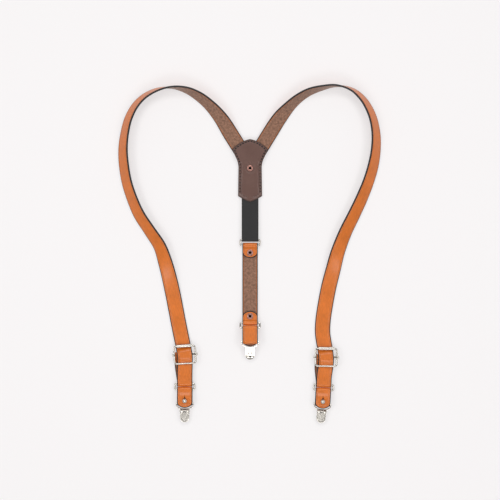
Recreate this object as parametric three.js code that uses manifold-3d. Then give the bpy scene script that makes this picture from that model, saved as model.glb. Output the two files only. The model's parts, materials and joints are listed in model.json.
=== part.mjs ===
// Y-back leather suspenders, laid flat on a table. Millimetres.
// +X runs to the right of the layout, +Y from the clips up to the shoulders, +Z up off the table.
// The front straps lie grain side up. The back column (yoke, elastic, back strap, clip) lies flesh
// side up, so its clip is face down. The origin is on the table under the middle of the layout.
import * as THREE from "three";
import { mergeVertices } from "three/addons/utils/BufferGeometryUtils.js";
import Module from "manifold-3d";

const wasm = await Module();
wasm.setup();

// ---------------------------------------------------------------- driving dimensions
const GAP = 0.2; // leather to the metal it wraps, and between sewn layers
const SEAT = 0.3; // between pieces that lie on each other
const PLAY = 0.15; // round a shank or peg in its hole

const STRAP = { width: 23, thickness: 2.8 }; // the two long shoulder straps
const SKIVED = 1.6; // thickness of a strap end pared down for its fold
const END_RADIUS = STRAP.width / 2 + 0.9; // of the rounded ends of tabs and flaps
const TAB = { thickness: 2.2, span: 20.2, stud: 16.6, flap: 27.2, inner: 10, bailRoom: 1.8, slit: 5.4 };
const ELASTIC = { width: 25, thickness: 1.4 };

// Wires are radii, widths and lengths of wire loops are between wire centres.
const RING = { wire: 1.4, play: 1.8, corner: 2.6 };
RING.width = STRAP.width + 2 * (RING.play + RING.wire);
RING.spacing = 2 * (RING.wire + GAP) + STRAP.thickness + TAB.thickness + SEAT;

const FRAME = { wire: 1.4, play: 3, corner: 3.8, length: 26.4 }; // of the adjuster
FRAME.width = STRAP.width + 2 * (FRAME.play + FRAME.wire);
const ROLLER = { radius: 2.8, bore: FRAME.wire + 0.25, length: STRAP.width + 2 * GAP };
const BAR = { width: 4, thickness: 1.6, height: 3.4 }; // the adjuster's centre bar
BAR.length = FRAME.width + 2 * (FRAME.wire + SEAT + BAR.thickness);
BAR.lip = BAR.thickness + SEAT + 2 * FRAME.wire - 0.6;

const EYELET = { bore: 1.4, barrel: 2.1, flange: 4.7, rim: 0.8, under: 0.5 };
const STUD = { ball: 3.4, neck: 1.9, base: 3.4, baseHeight: 0.6, bore: 1.0, boreDepth: 3.2 };
const SCREW = { head: 2.1, headHeight: 1.0, shank: 0.9 };
const END_RIVET = { head: 2.6, cap: 0.35, shank: 1.2, below: 8 }; // closes the fold under the centre bar

const CLIP = { sheet: 1.2, width: 13.8, length: 28.8, bailBar: 2, arm: 1.2, bailPlay: 0.5, swage: 0.1 };
CLIP.merge = 0.4; // how far inside the plate's edge the bail's arms end
CLIP.bailWidth = STRAP.width + 2 * (CLIP.arm + CLIP.bailPlay);
CLIP.shoulder = 4.4; // how far the bail's arms run straight
CLIP.top = 9.6; // where the body starts, below the bail bar
CLIP.face = CLIP.sheet / 2; // the body's upper face, from its middle
const KNUCKLE = 2;
const PIN = { radius: 0.9, below: 11.8, length: CLIP.width + 1.4, play: 0.12 };
PIN.height = CLIP.face + 1 + KNUCKLE;
const EAR = { thickness: 1, radius: KNUCKLE + SEAT };
const RIM = { wall: 1.2, height: 2 };
const RIB = { radius: 0.85, length: 6.6, apart: 2.4, below: PIN.below + 5.2, sunk: 0.35 }; // two, on its back
const PAD = { radius: CLIP.width / 2 - RIM.wall - 0.5, height: 1.3, peg: 1.2 };
PAD.top = (PIN.below + KNUCKLE + CLIP.length - CLIP.width / 2) / 2; // clear of the knuckles
PAD.pegBelow = CLIP.length - 4.5;
const JAW = { sheet: 1, width: CLIP.width - 2 * RIM.wall - 0.4, knuckle: 6, ridge: 0.8, ridgePitch: 2 };
JAW.underside = CLIP.face + PAD.height + 1;
const LEVER = { sheet: 1, width: CLIP.width - 0.4, underside: JAW.underside + JAW.sheet + 0.6 };

const YOKE = {
  sheet: 2, bottom: 78.5, hip: 87.4, waist: 138.5, margin: 3.6,
  corner: 157.4, cornerHalf: 26.8, peak: 172.4, rivet: 129, strapEnds: 138.6,
};
YOKE.half = ELASTIC.width / 2 + 5.5; // of its straight sides
const SEWN = YOKE.sheet + GAP; // height of what is sewn onto the outer patch
const ELASTIC_TOP = YOKE.strapEnds - 1;
const BACK_X = 0.1; // the back column's own line

const BACK = {
  upperRing: 17.6, lowerRing: -106.6, upperFlap: 18.7, lowerFlap: 17.4, upperRivet: 11, lowerRivet: 9.6,
  lift: 2.7, ringTilt: 26, tabTilt: 8.6, clipTilt: -17,
};
const FRONT_CLIP_TILT = -6.6; // the front clips lean down until their tips touch the table
const MARGIN = 500; // a block used to cut everything on one side reaches this far

// Heights of the two layers of the strap's fold under the adjuster, and of its rivet's top.
const FOLD = { low: SEAT + SKIVED / 2 };
FOLD.high = FOLD.low + SKIVED + GAP;
FOLD.top = FOLD.high + SKIVED / 2 + 0.05 + END_RIVET.cap;

// Heights of the shoulder strap's underside where it weaves through the adjuster and meets the ring.
const FRAME_Z = FOLD.top + STRAP.thickness + SEAT + FRAME.wire;
const RING_Z = STRAP.thickness + GAP + RING.wire;
const WEAVE = {
  roller: FRAME_Z - ROLLER.radius - SEAT - STRAP.thickness,
  bar: BAR.height + BAR.thickness / 2 + GAP + SKIVED + 2 * SEAT,
  wire: FOLD.top,
  ring: RING_Z + RING.wire + GAP,
};

// Routes of the shoulder straps from the yoke to the adjuster: x, y, lean in degrees, lift.
// Lean 0 is flesh side up, 90 stands on edge, 180 is grain side up. Lift is off the table.
const LEFT_ROUTE = [
  [5, 126, 0, SEWN], [-13.5, 155.6, 0, SEWN], [-21, 167.6, 0, SEWN], [-28.5, 179.6, 4, SEWN / 2],
  [-43.5, 203.5, 30, 0],
  [-60, 222.5, 48, 0], [-76.5, 236, 58, 0], [-95, 245.5, 72, 0], [-118, 249.5, 90, 0],
  [-140, 245.5, 104, 0], [-158, 236, 111, 0], [-171, 223, 116, 0], [-181.5, 203.5, 120, 0],
  [-187.5, 179.5, 123, 0], [-189.8, 155.5, 127, 0], [-188.2, 131.5, 130, 0], [-184, 107.5, 131, 0],
  [-176.3, 83.5, 133, 0], [-165.8, 59.5, 136, 0], [-150.2, 35.5, 138, 0], [-135, 12, 144, 0],
  [-126.8, -12, 157, 0], [-120.6, -36, 168, 0], [-115.4, -60, 176, 0], [-110.8, -84, 180, 0],
  [-106.6, -106, 180, 0],
];
const RIGHT_ROUTE = [
  [-4.5, 127, 0, SEWN], [15, 157.5, 0, SEWN], [21.8, 168.6, 0, SEWN], [28.5, 179.6, 4, SEWN / 2],
  [43.5, 203, 24, 0],
  [57, 219, 46, 0], [71, 232, 58, 0], [88, 242.5, 67, 0], [108, 248.8, 78, 0],
  [129, 252, 90, 0], [151.5, 246.6, 104, 0], [167.2, 234, 113, 0], [177.6, 218.6, 118, 0],
  [184.6, 201, 121, 0], [188.4, 178, 125, 0], [187.8, 155, 129, 0], [183.8, 131.5, 134, 0],
  [176.5, 107.5, 136, 0], [166.8, 83.5, 140, 0], [155.6, 59.5, 143, 0], [142.6, 33, 147, 0],
  [131.2, 3, 156, 0], [124.2, -24, 168, 0], [118.2, -48, 177, 0], [113.2, -74, 180, 0],
  [109.6, -98, 180, 0], [108.8, -118, 180, 0],
];

// What differs between the two front ends. Turns are in degrees about +Z.
const FRONTS = [
  {
    side: "left", route: LEFT_ROUTE, raised: 1, ring: [-97.7, -198.1], ringTurn: 0,
    slide: [-97.4, -150.2], slideTurn: 3, strapShift: -2, foldShift: -4.7, clipTurn: -0.5,
  },
  {
    side: "right", route: RIGHT_ROUTE, raised: -1, ring: [110, -199.3], ringTurn: -3.2,
    slide: [114, -154.1], slideTurn: -1, strapShift: -2, foldShift: -5.4, clipTurn: -3,
  },
];

// ---------------------------------------------------------------- materials
const finish = (color, roughness, metalness = 0) =>
  new THREE.MeshStandardMaterial({ color, roughness, metalness });
const TAN = finish(0xc8702c, 0.5);
const CHOCOLATE = finish(0x6b4c42, 0.55);
const BLACK_ELASTIC = finish(0x343436, 0.85);
const NICKEL = finish(0xd2d0cc, 0.25, 1);
const COPPER = finish(0x9a6a62, 0.35, 1);
const PLASTIC = finish(0x1d1d1e, 0.5);

// ---------------------------------------------------------------- solids
const { degToRad, lerp, smoothstep } = THREE.MathUtils;
const X_AXIS = new THREE.Vector3(1, 0, 0);
const Z_AXIS = new THREE.Vector3(0, 0, 1);

function solid(geometry) {
  const bare = geometry.clone();
  bare.deleteAttribute("normal");
  bare.deleteAttribute("uv");
  const merged = mergeVertices(bare, 1e-4);
  return new wasm.Manifold(
    new wasm.Mesh({
      numProp: 3,
      vertProperties: merged.attributes.position.array,
      triVerts: new Uint32Array(merged.index.array),
    }),
  );
}

function geometryOf(manifold) {
  const mesh = manifold.getMesh();
  const geometry = new THREE.BufferGeometry();
  geometry.setAttribute("position", new THREE.BufferAttribute(mesh.vertProperties, 3));
  geometry.setIndex(new THREE.BufferAttribute(mesh.triVerts, 1));
  geometry.computeVertexNormals();
  return geometry;
}

function piece(name, shape, material) {
  const geometry = shape.isBufferGeometry ? shape : geometryOf(shape);
  const mesh = new THREE.Mesh(geometry, material);
  mesh.name = name;
  return mesh;
}

// A block between two corners.
function block(from, to) {
  const size = to.map((value, axis) => value - from[axis]);
  const box = new THREE.BoxGeometry(...size);
  box.translate(...from.map((value, axis) => value + size[axis] / 2));
  return solid(box);
}

// An outline in XY, extruded from one height to another.
function plate(outline, from, to, curveSegments = 10) {
  const depth = to - from;
  const options = { depth, bevelEnabled: false, curveSegments };
  return solid(new THREE.ExtrudeGeometry(outline, options).translate(0, 0, from));
}

function outlineOf(points) {
  return new THREE.Shape(points.map(([x, y]) => new THREE.Vector2(x, y)));
}

// A cylinder standing on the XY plane at x, y.
function post(x, y, radius, from, to, sides = 16) {
  const cylinder = new THREE.CylinderGeometry(radius, radius, to - from, sides);
  cylinder.rotateX(Math.PI / 2).translate(x, y, (from + to) / 2);
  return solid(cylinder);
}

// A cylinder along X, from one x to another.
function axle(from, to, y, z, radius, sides = 16) {
  const cylinder = new THREE.CylinderGeometry(radius, radius, to - from, sides);
  cylinder.rotateZ(Math.PI / 2).translate((from + to) / 2, y, z);
  return solid(cylinder);
}

// A turned solid about Z from a profile of radius and height, drawn either way round, that starts
// and ends on the axis or closes on itself.
function turned(profile, sides = 16) {
  const points = profile.map(([radius, height]) => new THREE.Vector2(radius, height));
  if (THREE.ShapeUtils.area(points) < 0) points.reverse();
  return solid(new THREE.LatheGeometry(points, sides).rotateX(Math.PI / 2));
}

// ---------------------------------------------------------------- strips of leather and elastic
// A strip is a box bent along stations. Each has a place, a direction across and a thickness.
function strip(stations, width) {
  const steps = stations.length - 1;
  const geometry = new THREE.BoxGeometry(width, 1, steps, 1, 1, steps);
  const frames = stations.map((station, i) => {
    const before = stations[Math.max(i - 1, 0)].at;
    const after = stations[Math.min(i + 1, steps)].at;
    const into = station.at.clone().sub(before).normalize();
    const out = after.clone().sub(station.at).normalize();
    const along = into.add(out).normalize();
    return { ...station, face: along.cross(station.across).normalize() };
  });
  const places = geometry.attributes.position;
  const corner = new THREE.Vector3();
  for (let i = 0; i < places.count; i++) {
    corner.fromBufferAttribute(places, i);
    const frame = frames[Math.round(corner.z + steps / 2)];
    const place = frame.at
      .clone()
      .addScaledVector(frame.across, corner.x)
      .addScaledVector(frame.face, corner.y * frame.thickness);
    places.setXYZ(i, place.x, place.y, place.z);
  }
  return solid(geometry);
}

// Stations from rows of y, z, thickness in the YZ plane of a frame, at its own x.
function sideStations(rows, frame = new THREE.Matrix4(), x = 0) {
  const across = X_AXIS.clone().transformDirection(frame);
  return rows.map(([y, z, thickness]) => ({
    at: new THREE.Vector3(x, y, z).applyMatrix4(frame),
    across,
    thickness,
  }));
}

// Rows of a half turn about a bar. Angles are from +Y towards +Z.
function bendRows(y, z, radius, from, to, thickness, steps = 10) {
  const rows = [];
  for (let i = 0; i <= steps; i++) {
    const angle = degToRad(lerp(from, to, i / steps));
    rows.push([y + radius * Math.cos(angle), z + radius * Math.sin(angle), thickness]);
  }
  return rows;
}

// Rows that ease from one height to another, so that a layer settles onto the next.
function easeRows(fromY, fromZ, toY, toZ, thickness, steps = 4) {
  const rows = [];
  for (let i = 0; i <= steps; i++) {
    const share = i / steps;
    rows.push([lerp(fromY, toY, share), lerp(fromZ, toZ, smoothstep(share, 0, 1)), thickness]);
  }
  return rows;
}

// Everything beyond a rounded strap end whose tip is at y, facing towards +Y or -Y, within a band of
// heights. The round is a little shallower than a half circle.
function endCutter(tip, side, from, to) {
  const half = STRAP.width / 2;
  const centre = tip - side * END_RADIUS;
  const shoulder = centre + side * Math.sqrt(END_RADIUS ** 2 - half ** 2);
  const [low, high] = [shoulder, tip + side * 2].sort((a, b) => a - b);
  const waste = block([-half - 2, low, from], [half + 2, high, to]);
  return waste.subtract(post(0, centre, END_RADIUS, from - 1, to + 1, 32));
}

// ---------------------------------------------------------------- wire rings and frames
// A closed wire of round section along a rounded rectangle, made by reshaping a torus.
function wireLoop(width, length, corner, radius, sides = 8, cornerSteps = 4) {
  const centres = [];
  const halves = [width / 2 - corner, length / 2 - corner];
  const signs = [[1, 1], [-1, 1], [-1, -1], [1, -1]];
  signs.forEach(([sx, sy], quarter) => {
    for (let i = 0; i <= cornerSteps; i++) {
      const angle = (quarter + i / cornerSteps) * (Math.PI / 2);
      const out = new THREE.Vector2(Math.cos(angle), Math.sin(angle));
      centres.push({ x: sx * halves[0] + corner * out.x, y: sy * halves[1] + corner * out.y, out });
    }
  });
  const steps = centres.length;
  const torus = new THREE.TorusGeometry(1, 0.5, sides, steps);
  const places = torus.attributes.position;
  for (let i = 0; i < places.count; i++) {
    const around = (i % (steps + 1)) % steps;
    const angle = (Math.floor(i / (steps + 1)) / sides) * Math.PI * 2;
    const { x, y, out } = centres[around];
    const reach = radius * Math.cos(angle);
    places.setXYZ(i, x + out.x * reach, y + out.y * reach, radius * Math.sin(angle));
  }
  return solid(torus);
}

// ---------------------------------------------------------------- pivots
// Each moving piece's pivot is an empty in the group that it turns in. The world places are
// kept on the exported group.
const pivots = [];
function pivot(name, group, at, axis) {
  const mark = new THREE.Object3D();
  mark.position.set(...at);
  group.add(mark);
  pivots.push({ name, mark, axis: new THREE.Vector3(...axis) });
}

// ---------------------------------------------------------------- hardware
function rectangleRing(name) {
  return piece(name, wireLoop(RING.width, RING.spacing, RING.corner, RING.wire), NICKEL);
}

// A tubular rivet about Z that holds leather between two heights.
function eyelet(name, from, to) {
  const { bore, barrel, flange, rim, under } = EYELET;
  const profile = [
    [bore, from - under], [flange * 0.85, from - under], [flange * 0.85, from], [barrel, from],
    [barrel, to], [flange, to], [flange, to + rim * 0.35], [flange * 0.8, to + rim],
    [barrel, to + rim], [bore, to + rim * 0.6], [bore, from - under],
  ];
  return piece(name, turned(profile), COPPER);
}

// The adjuster: wire frame, roller on its top bar, and a flat centre bar hooked over its sides.
function adjuster(side) {
  const group = new THREE.Group();
  const frame = wireLoop(FRAME.width, FRAME.length, FRAME.corner, FRAME.wire);
  group.add(piece(`${side}_adjuster_frame`, frame.translate(0, 0, FRAME_Z), NICKEL));

  const { length, width, thickness, height, lip } = BAR;
  const outer = length / 2;
  const lipZ = FRAME_Z + FRAME.wire + GAP;
  const low = height - thickness / 2;
  const profile = outlineOf([
    [-outer, low], [outer, low], [outer, lipZ + thickness], [outer - lip, lipZ + thickness],
    [outer - lip, lipZ], [outer - thickness, lipZ], [outer - thickness, low + thickness],
    [thickness - outer, low + thickness], [thickness - outer, lipZ], [lip - outer, lipZ],
    [lip - outer, lipZ + thickness], [-outer, lipZ + thickness],
  ]);
  const options = { depth: width, bevelEnabled: false };
  const bar = new THREE.ExtrudeGeometry(profile, options).rotateX(Math.PI / 2);
  group.add(piece(`${side}_adjuster_bar`, bar.translate(0, width / 2, 0), NICKEL));

  const half = ROLLER.length / 2;
  const tube = turned([
    [ROLLER.bore, half], [ROLLER.radius, half], [ROLLER.radius, -half], [ROLLER.bore, -half],
    [ROLLER.bore, half],
  ]).rotate(0, 90, 0);
  const roller = piece(`${side}_adjuster_roller`, tube, NICKEL);
  roller.position.set(0, FRAME.length / 2, FRAME_Z);
  group.add(roller);
  pivot(`${side}_roller_spin`, group, [0, FRAME.length / 2, FRAME_Z], [1, 0, 0]);
  return group;
}

// A ball stud on the inner layer of a tab, held by a screw from behind. Z = 0 is the leather's face.
function studAndScrew(side, leather) {
  const { ball, neck, base, baseHeight, bore, boreDepth } = STUD;
  const flapTop = baseHeight + GAP + TAB.thickness;
  const ballCentre = flapTop + Math.sqrt(ball ** 2 - neck ** 2);
  const profile = [[0, boreDepth], [bore, boreDepth], [bore, 0], [base, 0], [base, baseHeight],
    [neck, baseHeight], [neck, flapTop]];
  const start = Math.asin(neck / ball);
  const steps = 7;
  for (let i = 1; i < steps; i++) {
    const angle = lerp(Math.PI - start, 0, i / steps);
    profile.push([ball * Math.sin(angle), ballCentre + ball * Math.cos(angle)]);
  }
  profile.push([0, ballCentre + ball]);
  const { head, headHeight, shank } = SCREW;
  const back = -leather - GAP;
  const screw = [[0, back - headHeight], [head, back - headHeight], [head, back], [shank, back],
    [shank, boreDepth - SEAT], [0, boreDepth - SEAT]];
  return [
    piece(`${side}_stud`, turned(profile), NICKEL),
    piece(`${side}_stud_screw`, turned(screw, 12), NICKEL),
  ];
}

// ---------------------------------------------------------------- the clip
// In the clip's own frame the bail bar lies on X, the jaws point to -Y and the lever faces +Z.
function clipOutline(half, top, end) {
  const centre = end + half;
  const shape = new THREE.Shape();
  shape.moveTo(half, top);
  shape.lineTo(-half, top);
  shape.absarc(0, centre, half, Math.PI, 2 * Math.PI, false);
  shape.closePath();
  return shape;
}

function clipBody(side) {
  const { face, width, length, bailWidth, bailBar, arm, shoulder, top } = CLIP;
  const back = -face - CLIP.swage;
  const high = face;
  const half = width / 2;
  const outer = bailWidth / 2;
  const foot = half - CLIP.merge;
  const bail = outlineOf([
    [-outer, bailBar / 2], [-outer, -shoulder], [-foot, -top - arm], [foot, -top - arm],
    [outer, -shoulder], [outer, bailBar / 2],
  ]);
  const inner = outer - arm;
  bail.holes.push(outlineOf([
    [-inner, -bailBar / 2], [inner, -bailBar / 2], [inner, -shoulder], [half - arm, -top + arm],
    [arm - half, -top + arm], [-inner, -shoulder],
  ]));
  let body = plate(bail, -face, high);
  body = body.add(plate(clipOutline(half, -top, -length), back, high, 12));

  const ears = [-half, half - EAR.thickness].map((x) => {
    const round = axle(x, x + EAR.thickness, -PIN.below, PIN.height, EAR.radius);
    const from = [x, -PIN.below - EAR.radius, back];
    return round.add(block(from, [x + EAR.thickness, -PIN.below + EAR.radius, PIN.height]));
  });
  ears.forEach((ear) => { body = body.add(ear); });

  const rimTop = half - length + 0.6;
  const wall = clipOutline(half, rimTop, -length);
  const cave = clipOutline(half - RIM.wall, rimTop + 1, RIM.wall - length);
  let rim = plate(wall, 0, high + RIM.height, 12).subtract(plate(cave, -MARGIN, MARGIN, 12));
  const teeth = 5;
  for (let i = 0; i < teeth; i++) {
    const turn = lerp(-58, 58, i / (teeth - 1));
    const notch = block([-0.55, -half - 1, high + RIM.height - 0.8], [0.55, 0, MARGIN]);
    rim = rim.subtract(notch.rotate(0, 0, turn).translate(0, half - length, 0));
  }
  const ribs = [-1, 1].map((s) => {
    const rib = new THREE.CapsuleGeometry(RIB.radius, RIB.length, 3, 10);
    return solid(rib.translate(s * RIB.apart, -RIB.below, back + RIB.sunk));
  });
  body = body.add(rim).add(ribs[0]).add(ribs[1]);
  body = body.subtract(axle(-half - 1, half + 1, -PIN.below, PIN.height, PIN.radius + PIN.play));
  body = body.subtract(post(0, -PAD.pegBelow, PAD.peg + PLAY, -MARGIN, MARGIN));
  return piece(`${side}_clip_body`, body, NICKEL);
}

function clipPad(side) {
  const base = CLIP.face;
  const end = CLIP.width / 2 - PAD.radius - CLIP.length;
  const pad = plate(clipOutline(PAD.radius, -PAD.top, end), base, base + PAD.height, 10);
  const peg = post(0, -PAD.pegBelow, PAD.peg, -base, base + PAD.height / 2);
  return piece(`${side}_clip_pad`, pad.add(peg), PLASTIC);
}

function knuckle(from, to) {
  return axle(from, to, -PIN.below, PIN.height, KNUCKLE);
}

function boredForPin(body, half) {
  return body.subtract(axle(-half - 1, half + 1, -PIN.below, PIN.height, PIN.radius + PIN.play));
}

function clipJaw(side) {
  const { sheet, width, underside, knuckle: span } = JAW;
  const half = width / 2;
  const end = (CLIP.width - width) / 2 - CLIP.length;
  let jaw = plate(clipOutline(half, -PIN.below - KNUCKLE - 0.4, end), underside, underside + sheet, 10);
  const neck = block([-span / 2, -PIN.below - KNUCKLE - 1, underside],
    [span / 2, -PIN.below, underside + sheet]);
  jaw = jaw.add(neck).add(knuckle(-span / 2, span / 2));
  for (let i = 0; i < 3; i++) {
    const y = i * JAW.ridgePitch - PAD.pegBelow;
    const reach = [half * 0.6, y + JAW.ridge / 2, underside + 0.1];
    jaw = jaw.add(block([-half * 0.6, y - JAW.ridge / 2, underside - 0.6], reach));
  }
  return piece(`${side}_clip_jaw`, boredForPin(jaw, span), NICKEL);
}

function clipLever(side) {
  const { sheet, width, underside } = LEVER;
  const half = width / 2;
  const end = (CLIP.width - width) / 2 - CLIP.length;
  const inside = CLIP.width / 2 - EAR.thickness - SEAT;
  const wideFrom = -PIN.below - EAR.radius - SEAT;
  let lever = plate(clipOutline(half, wideFrom, end), underside, underside + sheet, 12);
  lever = lever.add(block([-inside, wideFrom - 0.5, underside], [inside, -PIN.below, underside + sheet]));
  [-1, 1].forEach((s) => {
    const ends = [s * (JAW.knuckle / 2 + SEAT), s * inside].sort((a, b) => a - b);
    lever = lever.add(knuckle(...ends));
  });
  const jawRoom = JAW.knuckle / 2 + SEAT;
  lever = lever.subtract(axle(-jawRoom, jawRoom, -PIN.below, PIN.height, KNUCKLE + SEAT));
  return piece(`${side}_clip_lever`, boredForPin(lever, inside), NICKEL);
}

function clip(side) {
  const group = new THREE.Group();
  const pinHalf = PIN.length / 2;
  const pin = axle(-pinHalf, pinHalf, -PIN.below, PIN.height, PIN.radius, 16);
  group.add(clipBody(side), clipPad(side), clipJaw(side), clipLever(side));
  group.add(piece(`${side}_clip_pin`, pin, NICKEL));
  pivot(`${side}_clip_hinge`, group, [0, -PIN.below, PIN.height], [-1, 0, 0]);
  pivot(`${side}_clip_swing`, group, [0, 0, 0], [-1, 0, 0]);
  pivot(`${side}_clip_back`, group, [0, -RIB.below, -CLIP.face - CLIP.swage], [0, 0, -1]);
  return group;
}

// ---------------------------------------------------------------- the clip tab
// A leather tab in the frame of the ring's lower bar: down is -Y and outward is +Z. It wraps the
// ring's bar and the clip's bail bar, and its flap buttons over a ball stud on its inner layer.
function clipTab(side, clipTilt, clipTurn) {
  const { thickness, span, stud, flap, inner } = TAB;
  const group = new THREE.Group();
  const atRing = RING.wire + GAP + thickness / 2;
  const atBail = TAB.bailRoom + thickness / 2;
  const bailZ = -0.4;
  const innerFace = bailZ + atBail + thickness / 2;
  const flapZ = innerFace + STUD.baseHeight + GAP + thickness / 2;

  const rows = [
    ...easeRows(-flap, flapZ - 0.3, -stud, flapZ, thickness, 2),
    ...easeRows(-stud + STUD.base + 1, flapZ, -1.5, atRing, thickness, 4),
    ...bendRows(0, 0, atRing, 90, -90, thickness),
    ...easeRows(-2, -atRing, -span + 2, bailZ - atBail, thickness, 3),
    ...bendRows(-span, bailZ, atBail, -90, -270, thickness),
    ...easeRows(-span + 1, bailZ + atBail, -inner, bailZ + atBail, thickness, 2),
  ];
  let leather = strip(sideStations(rows), STRAP.width);
  const flapFloor = innerFace + GAP / 2;
  leather = leather.subtract(endCutter(-flap, -1, flapFloor, MARGIN));
  const neckHole = post(0, -stud, STUD.neck + SEAT, flapFloor, MARGIN);
  const slit = block([-0.45, -stud, flapFloor], [0.45, -stud + TAB.slit, MARGIN]);
  const screwHole = post(0, -stud, SCREW.shank + PLAY, bailZ, flapFloor);
  leather = leather.subtract(neckHole.add(slit).add(screwHole));
  group.add(piece(`${side}_tab`, leather, TAN));

  studAndScrew(side, thickness).forEach((part) => {
    part.position.set(0, -stud, innerFace + 0.05);
    group.add(part);
  });

  const hung = clip(side);
  hung.position.set(0, -span, bailZ);
  hung.rotation.set(degToRad(-clipTilt), 0, degToRad(clipTurn));
  group.add(hung);
  pivot(`${side}_tab_swing`, group, [0, 0, 0], [-1, 0, 0]);
  return group;
}

// ---------------------------------------------------------------- a front end
function frontEnd({ side, ring, ringTurn, slide, slideTurn, foldShift, clipTurn }) {
  const group = new THREE.Group();
  const ringFrame = new THREE.Group();
  ringFrame.position.set(...ring, 0);
  ringFrame.rotation.z = degToRad(ringTurn);
  const slideFrame = adjuster(side);
  slideFrame.position.set(...slide, 0);
  slideFrame.rotation.z = degToRad(slideTurn);
  group.add(ringFrame, slideFrame);
  group.updateMatrixWorld(true);

  const loop = rectangleRing(`${side}_ring`);
  loop.position.set(0, 0, RING_Z);
  const tab = clipTab(side, FRONT_CLIP_TILT, clipTurn);
  tab.position.set(0, -RING.spacing / 2, RING_Z);
  ringFrame.add(loop, tab);
  pivot(`${side}_ring_swing`, ringFrame, [0, RING.spacing / 2, RING_Z], [-1, 0, 0]);

  // The strap's end: round the ring's upper bar, up behind, and round the adjuster's centre bar.
  const { thickness } = STRAP;
  const turn = RING.wire + GAP + thickness / 2;
  const upper = RING.spacing / 2;
  const barTurn = BAR.thickness / 2 + GAP + SKIVED / 2;
  const roundOff = BAR.width / 2 - SEAT;
  const rivetY = -END_RIVET.below;
  const atRing = [
    [upper + 0.7, RING_Z + turn, thickness],
    ...bendRows(upper, RING_Z, turn, 90, 270, thickness),
    [upper + 2, RING_Z - turn, thickness],
  ];
  const atBar = [
    [-17, thickness / 2, thickness],
    [-12.5, FOLD.low, SKIVED],
    ...easeRows(-9, FOLD.low, -roundOff, BAR.height - barTurn, SKIVED, 3),
    ...bendRows(roundOff, BAR.height, barTurn, -90, 90, SKIVED, 8),
    ...easeRows(-roundOff, BAR.height + barTurn, rivetY + END_RIVET.head + SEAT, FOLD.high, SKIVED, 4),
    [-11, FOLD.high, SKIVED],
  ];
  const stations = [
    ...sideStations(atRing, ringFrame.matrixWorld),
    ...sideStations(atBar, slideFrame.matrixWorld, foldShift),
  ];
  const seatRow = new THREE.Vector3(foldShift, rivetY, 0).applyMatrix4(slideFrame.matrixWorld);
  let end = strip(stations, STRAP.width);
  const { head, cap, shank } = END_RIVET;
  end = end.subtract(post(seatRow.x, seatRow.y, shank + PLAY, -1, MARGIN));
  group.add(piece(`${side}_strap_end`, end, TAN));

  const under = FOLD.low - SKIVED / 2 - 0.05;
  const over = FOLD.top - cap;
  const rivet = turned([[0, under - cap / 2], [head, under - cap / 2], [head, under], [shank, under],
    [shank, over], [head, over], [head - cap, over + cap], [0, over + cap]], 12);
  const endRivet = piece(`${side}_strap_end_rivet`, rivet, NICKEL);
  endRivet.position.set(seatRow.x, seatRow.y, 0);
  group.add(endRivet);

  const heading = new THREE.Vector3(slide[0] - ring[0], slide[1] - ring[1], 0).normalize();
  pivot(`${side}_adjuster_slide`, group, [...slide, 0], heading.toArray());
  pivot(`${side}_strap_end_slide`, group, [...ring, 0], heading.toArray());
  return group;
}

// ---------------------------------------------------------------- a shoulder strap
function shoulderStrap({ side, route, raised, ring, ringTurn, slide, slideTurn, strapShift }) {
  const place = ([x, y], turn, v, u = 0) => {
    const angle = degToRad(turn);
    return [x + u * Math.cos(angle) - v * Math.sin(angle), y + u * Math.sin(angle) + v * Math.cos(angle)];
  };
  const upper = RING.spacing / 2;
  const half = FRAME.length / 2;
  const overBar = BAR.width / 2 + SKIVED;
  const rows = [
    ...route,
    [...place(slide, slideTurn, half, strapShift), 180, WEAVE.roller],
    [...place(slide, slideTurn, half - ROLLER.radius, strapShift * 0.8), 180, WEAVE.roller],
    [...place(slide, slideTurn, overBar, strapShift * 0.3), 180, WEAVE.bar],
    [...place(slide, slideTurn, -overBar), 180, WEAVE.bar],
    [...place(slide, ringTurn, -half), 180, WEAVE.wire],
    [...place(ring, ringTurn, upper + 12), 180, WEAVE.ring],
    [...place(ring, ringTurn, upper + 1), 180, WEAVE.ring],
  ];
  const curve = new THREE.CatmullRomCurve3(rows.map(([x, y]) => new THREE.Vector3(x, y, 0)));
  const perRow = 4;
  const last = rows.length - 1;
  const stations = [];
  for (let i = 0; i <= last * perRow; i++) {
    const row = Math.min(Math.floor(i / perRow), last - 1);
    const share = smoothstep(i / perRow - row, 0, 1);
    const lean = degToRad(lerp(rows[row][2], rows[row + 1][2], i / perRow - row));
    const lift = lerp(rows[row][3], rows[row + 1][3], share);
    const at = curve.getPoint(i / (last * perRow));
    const along = curve.getTangent(i / (last * perRow));
    const sideways = along.cross(Z_AXIS).multiplyScalar(raised);
    const across = sideways.multiplyScalar(Math.cos(lean)).addScaledVector(Z_AXIS, Math.sin(lean));
    at.z = lift + (STRAP.width / 2) * Math.sin(lean) + (STRAP.thickness / 2) * Math.abs(Math.cos(lean));
    stations.push({ at, across, thickness: STRAP.thickness });
  }
  let leather = strip(stations, STRAP.width);
  leather = leather.subtract(block([-MARGIN / 10, 100, -1], [MARGIN / 10, YOKE.strapEnds, 20]));
  const beyond = side === "left" ? [BACK_X - 0.2, MARGIN / 10] : [-MARGIN / 10, BACK_X + 0.2];
  leather = leather.subtract(block([beyond[0], 100, -1], [beyond[1], YOKE.peak, 20]));
  return piece(`${side}_strap`, leather, TAN);
}

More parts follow.
